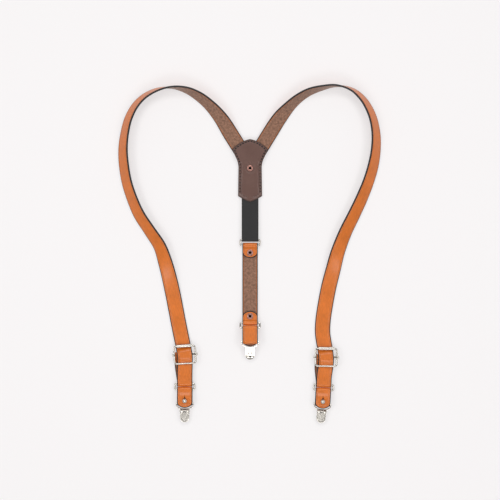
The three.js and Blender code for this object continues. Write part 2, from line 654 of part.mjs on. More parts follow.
// ---------------------------------------------------------------- the yoke and the back column
// The yoke's outline about its own middle line, grown outwards by inset when that is negative.
function yokeOutline(inset = 0) {
  const { bottom, hip, half, waist, corner, cornerHalf, peak } = YOKE;
  const shape = new THREE.Shape();
  const side = half - inset;
  const topSide = cornerHalf - inset * 1.2;
  const cornerY = corner - inset * 0.3;
  shape.moveTo(0, bottom + inset);
  shape.quadraticCurveTo(side * 0.55, bottom + inset + 3, side, hip + inset);
  shape.lineTo(side - 0.6, waist - 8);
  shape.quadraticCurveTo(side, waist + 1, side + 3.6, waist + 7);
  shape.lineTo(topSide, cornerY);
  shape.quadraticCurveTo(topSide * 0.5, peak - inset - 2, 0, peak - inset);
  shape.quadraticCurveTo(-topSide * 0.5, peak - inset - 2, -topSide, cornerY);
  shape.lineTo(-side - 3.6, waist + 7);
  shape.quadraticCurveTo(-side, waist + 1, 0.6 - side, waist - 8);
  shape.lineTo(-side, hip + inset);
  shape.quadraticCurveTo(-side * 0.55, bottom + inset + 3, 0, bottom + inset);
  return shape;
}

function yoke(leftRoute, rightRoute) {
  const group = new THREE.Group();
  group.position.x = BACK_X;
  const { sheet, rivet, margin } = YOKE;
  const floor = SEWN;
  const pocketTop = floor + Math.max(STRAP.thickness, 2 * ELASTIC.thickness + GAP) + GAP;
  const top = pocketTop + sheet;

  const hole = post(0, rivet, EYELET.barrel + PLAY, -1, MARGIN);
  const recess = post(0, rivet, EYELET.flange, -1, EYELET.under);
  const outer = plate(yokeOutline(), 0, sheet).subtract(hole).subtract(recess);
  group.add(piece("yoke_outer_patch", outer, TAN));

  // The inner patch rises over the elastic and the strap ends and comes down at its sewn margins.
  const clearance = 0.3;
  const elasticHalf = ELASTIC.width / 2 + clearance;
  let pocket = block([-elasticHalf, 0, 0], [elasticHalf, YOKE.strapEnds + 1, pocketTop]);
  [leftRoute, rightRoute].forEach((route) => {
    const [from, to] = [route[0], route[2]];
    const length = Math.hypot(to[0] - from[0], to[1] - from[1]);
    const turn = THREE.MathUtils.radToDeg(Math.atan2(from[0] - to[0], to[1] - from[1]));
    const half = STRAP.width / 2 + clearance + 0.2;
    const channel = block([-half, 0, 0], [half, length + 10, pocketTop]);
    const laid = channel.rotate(0, 0, turn).translate(from[0] - BACK_X, from[1], 0);
    pocket = pocket.add(laid.subtract(block([-MARGIN, -MARGIN, -1], [MARGIN, YOKE.strapEnds - 0.5, MARGIN])));
  });
  const crown = plate(yokeOutline(margin), floor, top);
  const head = plate(yokeOutline(), floor, top).subtract(
    block([-MARGIN, -MARGIN, -1], [MARGIN, YOKE.strapEnds - 0.5, MARGIN]),
  );
  const skirt = plate(yokeOutline(), floor, floor + sheet);
  const inner = crown.add(head).add(skirt).subtract(pocket).subtract(hole);
  group.add(piece("yoke_inner_patch", inner, CHOCOLATE));

  const pin = eyelet("yoke_rivet", EYELET.under, top);
  pin.position.set(0, rivet, 0);
  group.add(pin);
  pivot("yoke_rest", group, [0, (YOKE.hip + YOKE.rivet) / 2, 0], [0, 0, -1]);
  return group;
}

function elasticLoop() {
  const { width, thickness } = ELASTIC;
  const low = SEWN + thickness / 2;
  const high = low + thickness + GAP;
  const barZ = TAB.thickness + GAP + RING.wire;
  const barY = BACK.upperRing + RING.spacing / 2;
  const turn = RING.wire + GAP + thickness / 2;
  const rows = [
    [ELASTIC_TOP, high, thickness],
    ...easeRows(YOKE.bottom - 2, high, barY + 1, barZ + turn, thickness, 5),
    ...bendRows(barY, barZ, turn, 90, 270, thickness),
    ...easeRows(barY + 1, barZ - turn, YOKE.bottom - 2, low, thickness, 5),
    [ELASTIC_TOP, low, thickness],
  ];
  const hole = post(0, YOKE.rivet, EYELET.barrel + PLAY, -1, 20);
  const band = strip(sideStations(rows), width).subtract(hole);
  return piece("elastic_loop", band, BLACK_ELASTIC);
}

// The back strap lies flesh side up, with both ends folded up over the ring bars and riveted.
function backStrap() {
  const { thickness } = TAB;
  const { upperRing, lowerRing, upperFlap, lowerFlap, upperRivet, lowerRivet, lift } = BACK;
  const turn = RING.wire + GAP + thickness / 2;
  const barZ = thickness + GAP + RING.wire;
  const topY = upperRing - RING.spacing / 2;
  const lowY = lowerRing + RING.spacing / 2;
  const laid = thickness / 2;
  const onTop = laid + thickness + GAP;
  const flat = EYELET.flange + SEAT;
  const rows = [
    [topY - upperFlap, onTop, thickness],
    ...easeRows(topY - upperRivet + flat, onTop, topY - 0.5, barZ + turn, thickness),
    ...bendRows(topY, barZ, turn, 90, -90, thickness),
    ...easeRows(topY - upperFlap - flat, laid, lowY + lowerFlap + flat, laid + lift, thickness, 8),
    ...bendRows(lowY, barZ + lift, turn, -90, -270, thickness),
    ...easeRows(lowY + 0.5, barZ + lift + turn, lowY + lowerRivet - flat, onTop + lift, thickness),
    [lowY + lowerFlap, onTop + lift, thickness],
  ];
  const between = thickness + GAP / 2;
  let leather = strip(sideStations(rows), STRAP.width);
  leather = leather.subtract(endCutter(topY - upperFlap, -1, between, MARGIN));
  leather = leather.subtract(endCutter(lowY + lowerFlap, 1, between + lift, MARGIN));
  const group = new THREE.Group();
  const seats = [
    ["back_upper_rivet", topY - upperRivet, 0],
    ["back_lower_rivet", lowY + lowerRivet, lift],
  ];
  seats.forEach(([name, y, raise]) => {
    leather = leather.subtract(post(0, y, EYELET.barrel + PLAY, -1, 20));
    const pin = eyelet(name, EYELET.under, 2 * thickness + GAP + 0.15);
    leather = leather.subtract(post(0, y, EYELET.flange, -1, EYELET.under + 0.02 + raise));
    pin.position.set(0, y, raise);
    group.add(pin);
  });
  group.add(piece("back_strap", leather, TAN));
  return group;
}

function backColumn() {
  const group = new THREE.Group();
  group.position.x = BACK_X;
  const { upperRing, lowerRing, lift, ringTilt, tabTilt, clipTilt } = BACK;
  const barZ = TAB.thickness + GAP + RING.wire;
  group.add(elasticLoop(), backStrap());

  const upper = rectangleRing("back_upper_ring");
  upper.position.set(0, upperRing, barZ);
  group.add(upper);
  pivot("elastic_stretch", group, [0, YOKE.bottom, barZ], [0, -1, 0]);
  pivot("back_upper_ring_swing", group, [0, upperRing + RING.spacing / 2, barZ], [-1, 0, 0]);
  pivot("back_strap_swing", group, [0, upperRing - RING.spacing / 2, barZ], [-1, 0, 0]);

  // The lower ring tips up, because the ball stud of the face-down tab holds it off the table.
  const hung = new THREE.Group();
  hung.position.set(0, lowerRing + RING.spacing / 2, barZ + lift);
  hung.rotation.x = degToRad(-ringTilt);
  const lower = rectangleRing("back_lower_ring");
  lower.position.set(0, -RING.spacing / 2, 0);
  hung.add(lower);
  const faceDown = new THREE.Group();
  faceDown.position.set(0, -RING.spacing, 0);
  faceDown.rotation.x = degToRad(ringTilt - tabTilt);
  const tab = clipTab("back", tabTilt - clipTilt, 0);
  tab.rotation.y = Math.PI;
  faceDown.add(tab);
  hung.add(faceDown);
  group.add(hung);
  pivot("back_lower_ring_swing", hung, [0, 0, 0], [-1, 0, 0]);
  return group;
}

// ---------------------------------------------------------------- the whole, centred on its footprint
const suspenders = new THREE.Group();
suspenders.add(yoke(LEFT_ROUTE, RIGHT_ROUTE), backColumn());
FRONTS.forEach((front) => suspenders.add(shoulderStrap(front), frontEnd(front)));
suspenders.updateMatrixWorld(true);
const box = new THREE.Box3().setFromObject(suspenders, true);
const middle = box.getCenter(new THREE.Vector3());
suspenders.position.set(-middle.x, -middle.y, -box.min.z);
suspenders.updateMatrixWorld(true);

suspenders.userData.pivots = pivots.map(({ name, mark, axis }) => ({
  name,
  at: mark.getWorldPosition(new THREE.Vector3()).toArray(),
  axis: axis.transformDirection(mark.matrixWorld).toArray(),
}));

export default suspenders;
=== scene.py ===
"""Builds Y-back leather suspenders, laid flat on a pale floor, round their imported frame.

Shapes are worked out in millimetres in the frame's own axes, +X to the right of the layout, +Y from
the clips to the shoulders and +Z up off the floor, and are written to meshes in metres.
"""
import json
import math

import bmesh
import bpy
import numpy as np
from bpy.props import FloatProperty, FloatVectorProperty, PointerProperty
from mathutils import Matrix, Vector
from mathutils.geometry import delaunay_2d_cdt


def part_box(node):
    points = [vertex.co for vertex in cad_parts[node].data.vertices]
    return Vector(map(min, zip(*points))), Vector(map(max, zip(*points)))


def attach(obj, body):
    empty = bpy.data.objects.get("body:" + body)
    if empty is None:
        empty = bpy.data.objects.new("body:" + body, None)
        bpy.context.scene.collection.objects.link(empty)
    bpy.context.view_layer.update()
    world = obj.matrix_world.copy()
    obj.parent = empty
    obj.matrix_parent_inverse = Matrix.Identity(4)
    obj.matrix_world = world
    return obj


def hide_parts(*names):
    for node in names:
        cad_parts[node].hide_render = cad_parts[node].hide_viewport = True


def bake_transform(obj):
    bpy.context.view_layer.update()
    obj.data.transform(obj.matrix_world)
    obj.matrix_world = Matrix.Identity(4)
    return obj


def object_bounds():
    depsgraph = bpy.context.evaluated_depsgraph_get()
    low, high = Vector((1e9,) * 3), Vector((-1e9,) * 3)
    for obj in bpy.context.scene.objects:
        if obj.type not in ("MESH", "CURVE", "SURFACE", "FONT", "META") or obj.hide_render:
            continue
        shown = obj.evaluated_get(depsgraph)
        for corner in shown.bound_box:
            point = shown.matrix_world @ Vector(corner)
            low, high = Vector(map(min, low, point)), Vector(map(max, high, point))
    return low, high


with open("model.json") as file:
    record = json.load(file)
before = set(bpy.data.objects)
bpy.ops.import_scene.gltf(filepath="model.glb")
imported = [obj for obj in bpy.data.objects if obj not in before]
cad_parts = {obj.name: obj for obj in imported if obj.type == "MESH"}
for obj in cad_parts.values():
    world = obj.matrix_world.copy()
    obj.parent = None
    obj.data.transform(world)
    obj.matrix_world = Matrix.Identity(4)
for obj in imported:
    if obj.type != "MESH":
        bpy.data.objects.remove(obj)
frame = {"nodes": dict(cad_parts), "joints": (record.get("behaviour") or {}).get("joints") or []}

bl_info = {
    "name": "Leather Suspenders",
    "version": (1, 0, 0),
    "blender": (4, 5, 0),
    "location": "View3D > Sidebar > Suspenders",
    "description": "Builds Y-back leather suspenders round their packed frame",
    "category": "Object",
}

CAD_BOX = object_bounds()
JOINTS = {joint["name"]: joint for joint in frame["joints"]}
FRONTS = ("left", "right")
CLIPS = ("left", "right", "back")

# ------------------------------------------------------------------ sizes, in millimetres
MM = 0.001
GAP = 0.2
SEAT = 0.3
RING_Z = 4.4
FRAME = {"wire": 1.4, "width": 31.8, "length": 26.4, "corner": 3.8, "z": 8.6}
ROLLER = {"radius": 2.8, "bore": 1.65, "length": 23.4}
BAR = {"width": 4.0, "thickness": 1.6, "height": 3.4, "outer": 19.2, "lip": 4.1}
TAB = {"span": 20.2, "stud": 16.6, "flap": 27.2, "inner": 10.0, "room": 1.8, "bail_z": -0.4}
RING = {"wire": 1.4, "width": 29.4, "spacing": 8.5, "corner": 2.6}
STUD = {"ball": 3.4, "neck": 1.9, "base": 3.4, "base_height": 0.6}
END_RIVET = {"head": 2.6, "below": 8.0}
RIVET = {"bore": 1.4, "barrel": 2.1, "flange": 4.7, "rim": 0.8, "under": 0.5}
CLIP = {
    "face": 0.6, "width": 13.8, "length": 28.8, "bail": 26.4, "shoulder": 4.4, "top": 9.6,
    "peg": -24.3,
}
PIN = {"radius": 0.9, "below": 11.8, "height": 3.6, "length": 15.2, "head": 1.35, "dome": 0.55}
RIB = {"x": 2.4, "y": -17, "half": 3.3, "radius": 0.85, "sunk": 0.35}
QUARTER = np.linspace(0, math.pi / 2, 7)
YOKE = {
    "sheet": 2.0, "bottom": 78.5, "hip": 87.4, "half": 18.0, "waist": 138.5, "corner": 157.4,
    "corner_half": 26.8, "peak": 172.4, "rivet": 129.0, "strap_ends": 138.6,
}
BAND_HALF = 12.9
STRAPS_FROM = (129, 139.5)
SEWN = 2.2
BACK = {
    "x": 0.1, "upper_ring": 17.6, "lower_ring": -106.6, "upper_flap": 18.7, "lower_flap": 17.4,
    "upper_rivet": 11.0, "lower_rivet": 9.6, "lift": 2.7,
}
FOLD = {"flat": -17, "pared": -12.5, "rise": -9, "end": -11}
FOLD_LOW = 1.1
FOLD_HIGH = 2.9
WEAVE = {"roller": 2.7, "bar": 6.6, "wire": 4.1, "ring": 6.0}

# Routes of the shoulder straps from the yoke to the adjusters: x, y, lean in degrees, lift. Lean 0
# is flesh side up, 90 stands on edge and 180 is grain side up.
ROUTES = {
    "left": [
        (5, 126, 0, SEWN), (-13.5, 155.6, 0, SEWN), (-21, 167.6, 0, SEWN), (-28.5, 179.6, 4, 1.1),
        (-43.5, 203.5, 30, 0), (-60, 222.5, 48, 0), (-76.5, 236, 58, 0), (-95, 245.5, 72, 0),
        (-118, 249.5, 90, 0), (-140, 245.5, 104, 0), (-158, 236, 111, 0), (-171, 223, 116, 0),
        (-181.5, 203.5, 120, 0), (-187.5, 179.5, 123, 0), (-189.8, 155.5, 127, 0),
        (-188.2, 131.5, 130, 0), (-184, 107.5, 131, 0), (-176.3, 83.5, 133, 0),
        (-165.8, 59.5, 136, 0), (-150.2, 35.5, 138, 0), (-135, 12, 144, 0), (-126.8, -12, 157, 0),
        (-120.6, -36, 168, 0), (-115.4, -60, 176, 0), (-110.8, -84, 180, 0), (-106.6, -106, 180, 0),
    ],
    "right": [
        (-4.5, 127, 0, SEWN), (15, 157.5, 0, SEWN), (21.8, 168.6, 0, SEWN), (28.5, 179.6, 4, 1.1),
        (43.5, 203, 24, 0), (57, 219, 46, 0), (71, 232, 58, 0), (88, 242.5, 67, 0),
        (108, 248.8, 78, 0), (129, 252, 90, 0), (151.5, 246.6, 104, 0), (167.2, 234, 113, 0),
        (177.6, 218.6, 118, 0), (184.6, 201, 121, 0), (188.4, 178, 125, 0), (187.8, 155, 129, 0),
        (183.8, 131.5, 134, 0), (176.5, 107.5, 136, 0), (166.8, 83.5, 140, 0),
        (155.6, 59.5, 143, 0), (142.6, 33, 147, 0), (131.2, 3, 156, 0), (124.2, -24, 168, 0),
        (118.2, -48, 177, 0), (113.2, -74, 180, 0), (109.6, -98, 180, 0), (108.8, -118, 180, 0),
    ],
}
# What differs between the two front ends: how far the strap and its folded end sit off centre.
SHIFTS = {"left": (-2.0, -4.7, 1), "right": (-2.0, -5.4, -1)}


# ------------------------------------------------------------------ places taken from the frame
def joint_at(name):
    return np.array(JOINTS[name]["pos_m"]) / MM


def joint_axis(name):
    axis = np.array(JOINTS[name]["axis"], float)
    return axis / np.linalg.norm(axis)


# The frame sits this far from the axes that the routes are drawn in.
SHIFT = joint_at("back_upper_ring_swing") - np.array(
    [BACK["x"], BACK["upper_ring"] + RING["spacing"] / 2, RING_Z - 0.6]
)


def axes(origin, x, y):
    """A 4 x 4 matrix with that origin and X axis, and Y as near as it can be to y."""
    x = np.array(x, float) / np.linalg.norm(x)
    y = np.array(y, float) - np.dot(y, x) * x
    y /= np.linalg.norm(y)
    made = np.identity(4)
    made[:3, 0], made[:3, 1], made[:3, 2], made[:3, 3] = x, y, np.cross(x, y), origin
    return made


def hinged_axes(joint, towards, local):
    """The frame whose X runs back along a hinge, and where the point (y, z) local is at towards."""
    origin = joint_at(joint)
    x = -joint_axis(joint)
    way = joint_at(towards) - origin
    way -= np.dot(way, x) * x
    way /= np.linalg.norm(way)
    turn = math.atan2(local[1], local[0])
    return axes(origin, x, math.cos(turn) * way - math.sin(turn) * np.cross(x, way))


def tab_axes(side):
    return hinged_axes(f"{side}_tab_swing", f"{side}_clip_swing", (-TAB["span"], TAB["bail_z"]))


def clip_axes(side):
    local = (-PIN["below"], PIN["height"])
    return hinged_axes(f"{side}_clip_swing", f"{side}_lever_hinge", local)


def ring_axes(upper, lower):
    top, low = joint_at(upper), joint_at(lower)
    return axes((top + low) / 2, -joint_axis(upper), top - low)


def buckle_axes(side):
    x = joint_axis(f"{side}_roller_spin")
    y = np.cross([0, 0, 1], x)
    origin = joint_at(f"{side}_roller_spin") - FRAME["length"] / 2 * y
    origin[2] -= FRAME["z"]
    return axes(origin, x, y)


def set_off(matrix, x, y, z, ways=np.identity(3)):
    """A frame set off from another by x, y and z, whose own axes are the columns of ways."""
    local = np.identity(4)
    local[:3, :3], local[:3, 3] = ways, (x, y, z)
    return matrix @ local


# Frames whose Z runs across a clip, and whose Z runs along it.
ACROSS = [[0, 0, 1], [1, 0, 0], [0, 1, 0]]
ALONG = [[1, 0, 0], [0, 0, -1], [0, 1, 0]]


def layout_axes(x=0.0):
    return set_off(np.identity(4), *(SHIFT + np.array([x, 0, 0])))


def moved(matrix, points):
    points = np.asarray(points, float)
    return points @ matrix[:3, :3].T + matrix[:3, 3]


# ------------------------------------------------------------------ middle lines
def smooth_curve(rows, step, places):
    """Rows close together along a smooth curve through rows. The first columns are the place."""
    rows = np.asarray(rows, float)
    control = np.vstack([2 * rows[0] - rows[1], rows, 2 * rows[-1] - rows[-2]])
    made, where = [], []
    for i in range(len(rows) - 1):
        a, b, c, d = control[i:i + 4]
        gaps = [max(np.linalg.norm((q - p)[:places]), 1e-6) ** 0.5 for p, q in ((a, b), (b, c),
            (c, d))]
        out = ((b - a) / gaps[0] - (c - a) / (gaps[0] + gaps[1]) + (c - b) / gaps[1]) * gaps[1]
        into = ((c - b) / gaps[1] - (d - b) / (gaps[1] + gaps[2]) + (d - c) / gaps[2]) * gaps[1]
        count = max(1, math.ceil(np.linalg.norm((c - b)[:places]) / step))
        for k in range(count):
            w = k / count
            made.append(b + out * w + (3 * (c - b) - 2 * out - into) * w ** 2
                + (2 * (b - c) + out + into) * w ** 3)
            where.append(i + w)
    return np.array(made + [rows[-1]]), np.array(where + [len(rows) - 1])


def unit(vectors):
    return vectors / np.maximum(np.linalg.norm(vectors, axis=-1, keepdims=True), 1e-12)


def ease(x, low=0.0, high=1.0):
    share = np.clip((x - low) / (high - low), 0, 1)
    return share * share * (3 - 2 * share)


class Line:
    """A strip's middle line: places, ways across it and up through it, and its thicknesses.

    Up is the grain side. The hints are across the strip, with the grain side at along x hint.
    """

    def __init__(self, at, hint, thick):
        self.at = np.asarray(at, float)
        along = unit(np.gradient(self.at, axis=0))
        self.up = unit(np.cross(along, hint))
        self.across = unit(np.cross(along, self.up))
        self.thick = np.asarray(thick, float)
        steps = np.linalg.norm(np.diff(self.at, axis=0), axis=1)
        self.far = np.concatenate([[0], np.cumsum(steps)])

    def part(self, first, last):
        cut = object.__new__(Line)
        for name in ("at", "up", "across", "thick"):
            setattr(cut, name, getattr(self, name)[first:last])
        cut.far = self.far[first:last] - self.far[first]
        return cut

    def look(self, far):
        """Places, ways across, ways up and thicknesses at distances along the line."""
        found = [
            np.stack([np.interp(far, self.far, values[:, k]) for k in range(3)], axis=-1)
            for values in (self.at, self.across, self.up)
        ]
        return found[0], unit(found[1]), unit(found[2]), np.interp(far, self.far, self.thick)


def bend(y, z, radius, start, end, thick, steps=10):
    turns = np.radians(np.linspace(start, end, steps + 1))
    return [(y + radius * math.cos(t), z + radius * math.sin(t), thick) for t in turns]


def settle(y0, z0, y1, z1, thick, steps=4):
    """Rows that ease from one height to another, as a layer settles onto the next."""
    return [
        (y0 + (y1 - y0) * i / steps, z0 + (z1 - z0) * float(ease(i / steps)), thick)
        for i in range(steps + 1)
    ]


def side_line(rows, matrix, x=0.0, grain=-1, step=0.8):
    """A line in the YZ plane of a frame, from rows of y, z and thickness."""
    rows, _ = smooth_curve(rows, step, 2)
    places = np.column_stack([np.full(len(rows), x), rows[:, 0], rows[:, 1]])
    hint = np.tile(grain * matrix[:3, 0], (len(rows), 1))
    return Line(moved(matrix, places), hint, rows[:, 2])


# ------------------------------------------------------------------ meshes
def write_mesh(name, points, faces, zones=None, flat=None, inset=None):
    """A mesh from points in millimetres. Zones are material numbers, one for each face."""
    mesh = bpy.data.meshes.new(name)
    mesh.from_pydata((np.asarray(points) * MM).tolist(), [], faces)
    if zones is not None:
        mesh.polygons.foreach_set("material_index", zones)
    if flat is not None:
        stored = mesh.attributes.new("flat", "FLOAT_VECTOR", "POINT")
        stored.data.foreach_set("vector", np.asarray(flat, np.float32).ravel())
    if inset is not None:
        stored = mesh.attributes.new("inset", "FLOAT", "POINT")
        stored.data.foreach_set("value", np.asarray(inset, np.float32).ravel())
    return mesh


def finish_mesh(mesh, merge=0.002, sharp=38):
    """Merges doubled points, turns the faces outwards and smooths all but the sharp edges."""
    work = bmesh.new()
    work.from_mesh(mesh)
    bmesh.ops.remove_doubles(work, verts=work.verts, dist=merge * MM)
    bmesh.ops.dissolve_degenerate(work, edges=work.edges, dist=1e-8)
    bmesh.ops.recalc_face_normals(work, faces=work.faces)
    work.to_mesh(mesh)
    work.free()
    mesh.shade_smooth()
    mesh.set_sharp_from_angle(angle=math.radians(sharp))
    return mesh


def in_scene(name, data):
    """A new object in the scene that holds the data."""
    made = bpy.data.objects.new(name, data)
    bpy.context.scene.collection.objects.link(made)
    return made


def add_piece(name, mesh, materials, body, slot, *nodes):
    """Puts a finished mesh in the scene as a piece that stands for nodes. It rides on a body that
    is given by name; a body given any other way leaves it where it is.
    """
    zones = [polygon.material_index for polygon in mesh.polygons]
    mesh.materials.clear()
    for material in materials:
        mesh.materials.append(material)
    mesh.polygons.foreach_set("material_index", zones)
    made = in_scene(name, mesh)
    if isinstance(body, str):
        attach(made, body)
    else:
        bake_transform(made)
    if nodes:
        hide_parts(*nodes)
    return made


def joined(name, *meshes):
    """One mesh from several, each of which keeps its material numbers."""
    work = bmesh.new()
    for mesh in meshes:
        work.from_mesh(mesh)
    made = bpy.data.meshes.new(name)
    work.to_mesh(made)
    work.free()
    for mesh in meshes:
        bpy.data.meshes.remove(mesh)
    return made


def numbered(mesh, zone):
    """The mesh with all its faces on one material number."""
    mesh.polygons.foreach_set("material_index", [zone] * len(mesh.polygons))
    return mesh


def evaluated_mesh(holder):
    """An object's mesh with its modifiers or curve settings applied."""
    bpy.context.view_layer.update()
    depsgraph = bpy.context.evaluated_depsgraph_get()
    return bpy.data.meshes.new_from_object(holder.evaluated_get(depsgraph))


def read_places(mesh):
    """A mesh's points, one row for each."""
    places = np.empty(len(mesh.vertices) * 3)
    mesh.vertices.foreach_get("co", places)
    return places.reshape(-1, 3)


def slotted(mesh):
    """The mesh with the empty material slots that a boolean needs to keep its faces' numbers."""
    while len(mesh.materials) < 3:
        mesh.materials.append(None)
    return mesh


def cut(mesh, *cutters):
    """Takes each cutter out of a mesh with an exact boolean."""
    base = in_scene("cut_base", mesh)
    tools = []
    for cutter in cutters:
        tools.append(in_scene("cut_tool", cutter))
        modifier = base.modifiers.new("cut", "BOOLEAN")
        modifier.operation = "DIFFERENCE"
        modifier.solver = "EXACT"
        modifier.object = tools[-1]
    made = evaluated_mesh(base)
    for used in (base, *tools):
        data = used.data
        bpy.data.objects.remove(used)
        bpy.data.meshes.remove(data)
    return made


# A strip's edge in section, from the middle of its flesh side round to the middle of its grain
# side: inset from the edge, height as a share of half the thickness, height added, and the material
# number of what follows. A leather edge is bevelled and painted, and creased on the grain.
GRAIN, FLESH, EDGE = 0, 1, 2
LEATHER_SECTION = [
    (4.4, -1, 0, FLESH), (1.9, -1, 0, FLESH), (1.35, -1, 0.01, EDGE), (0.55, -1, 0.12, EDGE),
    (0.15, -1, 0.42, EDGE), (0, -0.35, 0, EDGE), (0, 0.35, 0, EDGE), (0.15, 1, -0.42, EDGE),
    (0.55, 1, -0.12, EDGE), (1.35, 1, -0.01, GRAIN), (1.9, 1, 0.02, GRAIN), (2.6, 1, 0, GRAIN),
    (2.9, 1, -0.16, GRAIN), (3.2, 1, 0, GRAIN), (4.4, 1, 0.04, GRAIN),
]
PATCH_SECTION = [row for row in LEATHER_SECTION if row[:2] not in ((2.6, 1), (2.9, 1), (3.2, 1))]
WOVEN_SECTION = [
    (3.4, -1, 0, 0), (2.5, -1, 0, 0), (2.25, -1, 0.1, 0), (2.0, -1, 0, 0), (0.6, -1, 0.02, 0),
    (0.15, -1, 0.25, 0), (0, -0.2, 0, 0), (0, 0.2, 0, 0), (0.15, 1, -0.25, 0), (0.6, 1, -0.02, 0),
    (2.0, 1, 0, 0), (2.25, 1, -0.1, 0), (2.5, 1, 0, 0), (3.4, 1, 0, 0),
]
SHEET_SECTION = [
    (1.0, -1, 0, 0), (0.3, -1, 0, 0), (0.09, -1, 0.09, 0), (0, -1, 0.3, 0), (0, 1, -0.3, 0),
    (0.09, 1, -0.09, 0), (0.3, 1, 0, 0), (1.0, 1, 0, 0),
]


def outline_rows(line, half_at, ends, steps=12):
    """Rows of a strip's outline: far along, half width, and the way in from the edge. An end given
    as a length is rounded over that length."""
    total = line.far[-1]
    rows = []
    for i in range(steps if ends[0] else 0):
        turn = i / steps * math.pi / 2
        half = half_at(ends[0])
        out = np.array([math.sin(turn) / half, -math.cos(turn) / ends[0]])
        out /= np.linalg.norm(out)
        rows.append((ends[0] * (1 - math.cos(turn)), half * math.sin(turn), out[0], -out[1]))
    for far in line.far:
        if ends[0] <= far <= total - ends[1]:
            rows.append((far, half_at(far), 1.0, 0.0))
    for i in range(steps if ends[1] else 0):
        turn = (steps - 1 - i) / steps * math.pi / 2
        half = half_at(total - ends[1])
        out = np.array([math.sin(turn) / half, math.cos(turn) / ends[1]])
        out /= np.linalg.norm(out)
        rows.append((total - ends[1] * (1 - math.cos(turn)), half * math.sin(turn), out[0],
            -out[1]))
    return np.array(rows)


def strip_mesh(name, line, width, section=LEATHER_SECTION, ends=(0, 0), lanes=6, crown=0.06):
    """A strip bent along a line. Width is one number or a function of the distance along."""
    half_at = width if callable(width) else (lambda far: width / 2)
    rows = outline_rows(line, half_at, ends)
    inset, share, added, zone = (np.array(v) for v in zip(*section))
    far, half, out, back = (rows[:, k:k + 1] for k in range(4))
    u = half - inset * out
    s = far + inset * back
    fill = np.arange(1, lanes)[None, :] / lanes
    swell = crown * (1 - (2 * fill - 1) ** 2)
    blank = np.ones((len(rows), 1))
    u_all = np.hstack([-u, u[:, -1:] * (2 * fill - 1), u[:, ::-1], u[:, :1] * (1 - 2 * fill)])
    s_all = np.hstack([s, s[:, -1:] * np.ones_like(fill), s[:, ::-1],
        s[:, :1] * np.ones_like(fill)])
    share_all = np.concatenate([share, np.ones(lanes - 1), share[::-1], -np.ones(lanes - 1)])
    added_all = np.concatenate([added, added[-1] + swell[0], added[::-1], -0 * swell[0]])
    inset_all = np.concatenate([inset, np.full(lanes - 1, 9.0), inset[::-1], np.full(lanes - 1,
        9.0)])
    zones = [*zone[:-1], *[zone[-1]] * lanes, *zone[:-1][::-1], *[zone[0]] * lanes]
    at, across, up, thick = line.look(s_all)
    z = share_all * thick / 2 + added_all * blank
    points = at + across * u_all[..., None] + up * z[..., None]
    count, columns = u_all.shape
    faces, numbers = [], []
    for i in range(count - 1):
        for j in range(columns):
            k = (j + 1) % columns
            faces.append((i * columns + j, i * columns + k,
                (i + 1) * columns + k, (i + 1) * columns + j))
            numbers.append(int(zones[j]))
    last = (count - 1) * columns
    cap = EDGE if section is LEATHER_SECTION else 0
    if not ends[0]:
        faces.append(tuple(range(columns)))
        numbers.append(cap)
    if not ends[1]:
        faces.append(tuple(last + j for j in reversed(range(columns))))
        numbers.append(cap)
    flat = np.stack([u_all, s_all, np.zeros_like(u_all)], axis=-1).reshape(-1, 3)
    inset_all = np.tile(inset_all, count)
    mesh = write_mesh(name, points.reshape(-1, 3), faces, numbers, flat, inset_all)
    return finish_mesh(mesh)


def lathe_mesh(name, profile, matrix, steps=36):
    """A turned piece about the Z of a frame, from a profile of radius and height."""
    points, faces = [], []
    for i in range(steps):
        turn = 2 * math.pi * i / steps
        points += [(r * math.cos(turn), r * math.sin(turn), z) for r, z in profile]
    size = len(profile)
    for i in range(steps):
        for j in range(size - 1):
            a, b = i * size + j, (i + 1) % steps * size + j
            faces.append((a, b, b + 1, a + 1))
    return finish_mesh(write_mesh(name, moved(matrix, points), faces))


def rounded(profile, radius=0.25, steps=3):
    """A profile whose inner corners are rounded off, apart from its ends."""
    made = [profile[0]]
    for before, corner, after in zip(profile, profile[1:], profile[2:]):
        a, c, b = (np.array(p, float) for p in (before, corner, after))
        one, two = a - c, b - c
        reach = min(radius, 0.45 * np.linalg.norm(one), 0.45 * np.linalg.norm(two))
        if reach < 1e-3:
            made.append(tuple(c))
            continue
        start, end = c + one / np.linalg.norm(one) * reach, c + two / np.linalg.norm(two) * reach
        for i in range(steps + 1):
            w = i / steps
            made.append(tuple((1 - w) ** 2 * start + 2 * w * (1 - w) * c + w * w * end))
    return made + [profile[-1]]


def loop_mesh(name, width, length, corner, radius, matrix, sides=18, steps=9):
    """A closed wire of round section, bent to a rounded rectangle in the XY plane of a frame."""
    half = (width / 2 - corner, length / 2 - corner)
    rows = []
    for quarter, (sx, sy) in enumerate(((1, 1), (-1, 1), (-1, -1), (1, -1))):
        for i in range(steps + 1):
            turn = (quarter + i / steps) * math.pi / 2
            out = (math.cos(turn), math.sin(turn))
            rows.append((sx * half[0] + corner * out[0], sy * half[1] + corner * out[1], *out))
    points, faces = [], []
    for x, y, ox, oy in rows:
        for j in range(sides):
            turn = 2 * math.pi * j / sides
            reach = radius * math.cos(turn)
            points.append((x + ox * reach, y + oy * reach, radius * math.sin(turn)))
    count = len(rows)
    for i in range(count):
        for j in range(sides):
            a, b, k = i * sides, (i + 1) % count * sides, (j + 1) % sides
            faces.append((a + j, b + j, b + k, a + k))
    return finish_mesh(write_mesh(name, moved(matrix, points), faces))


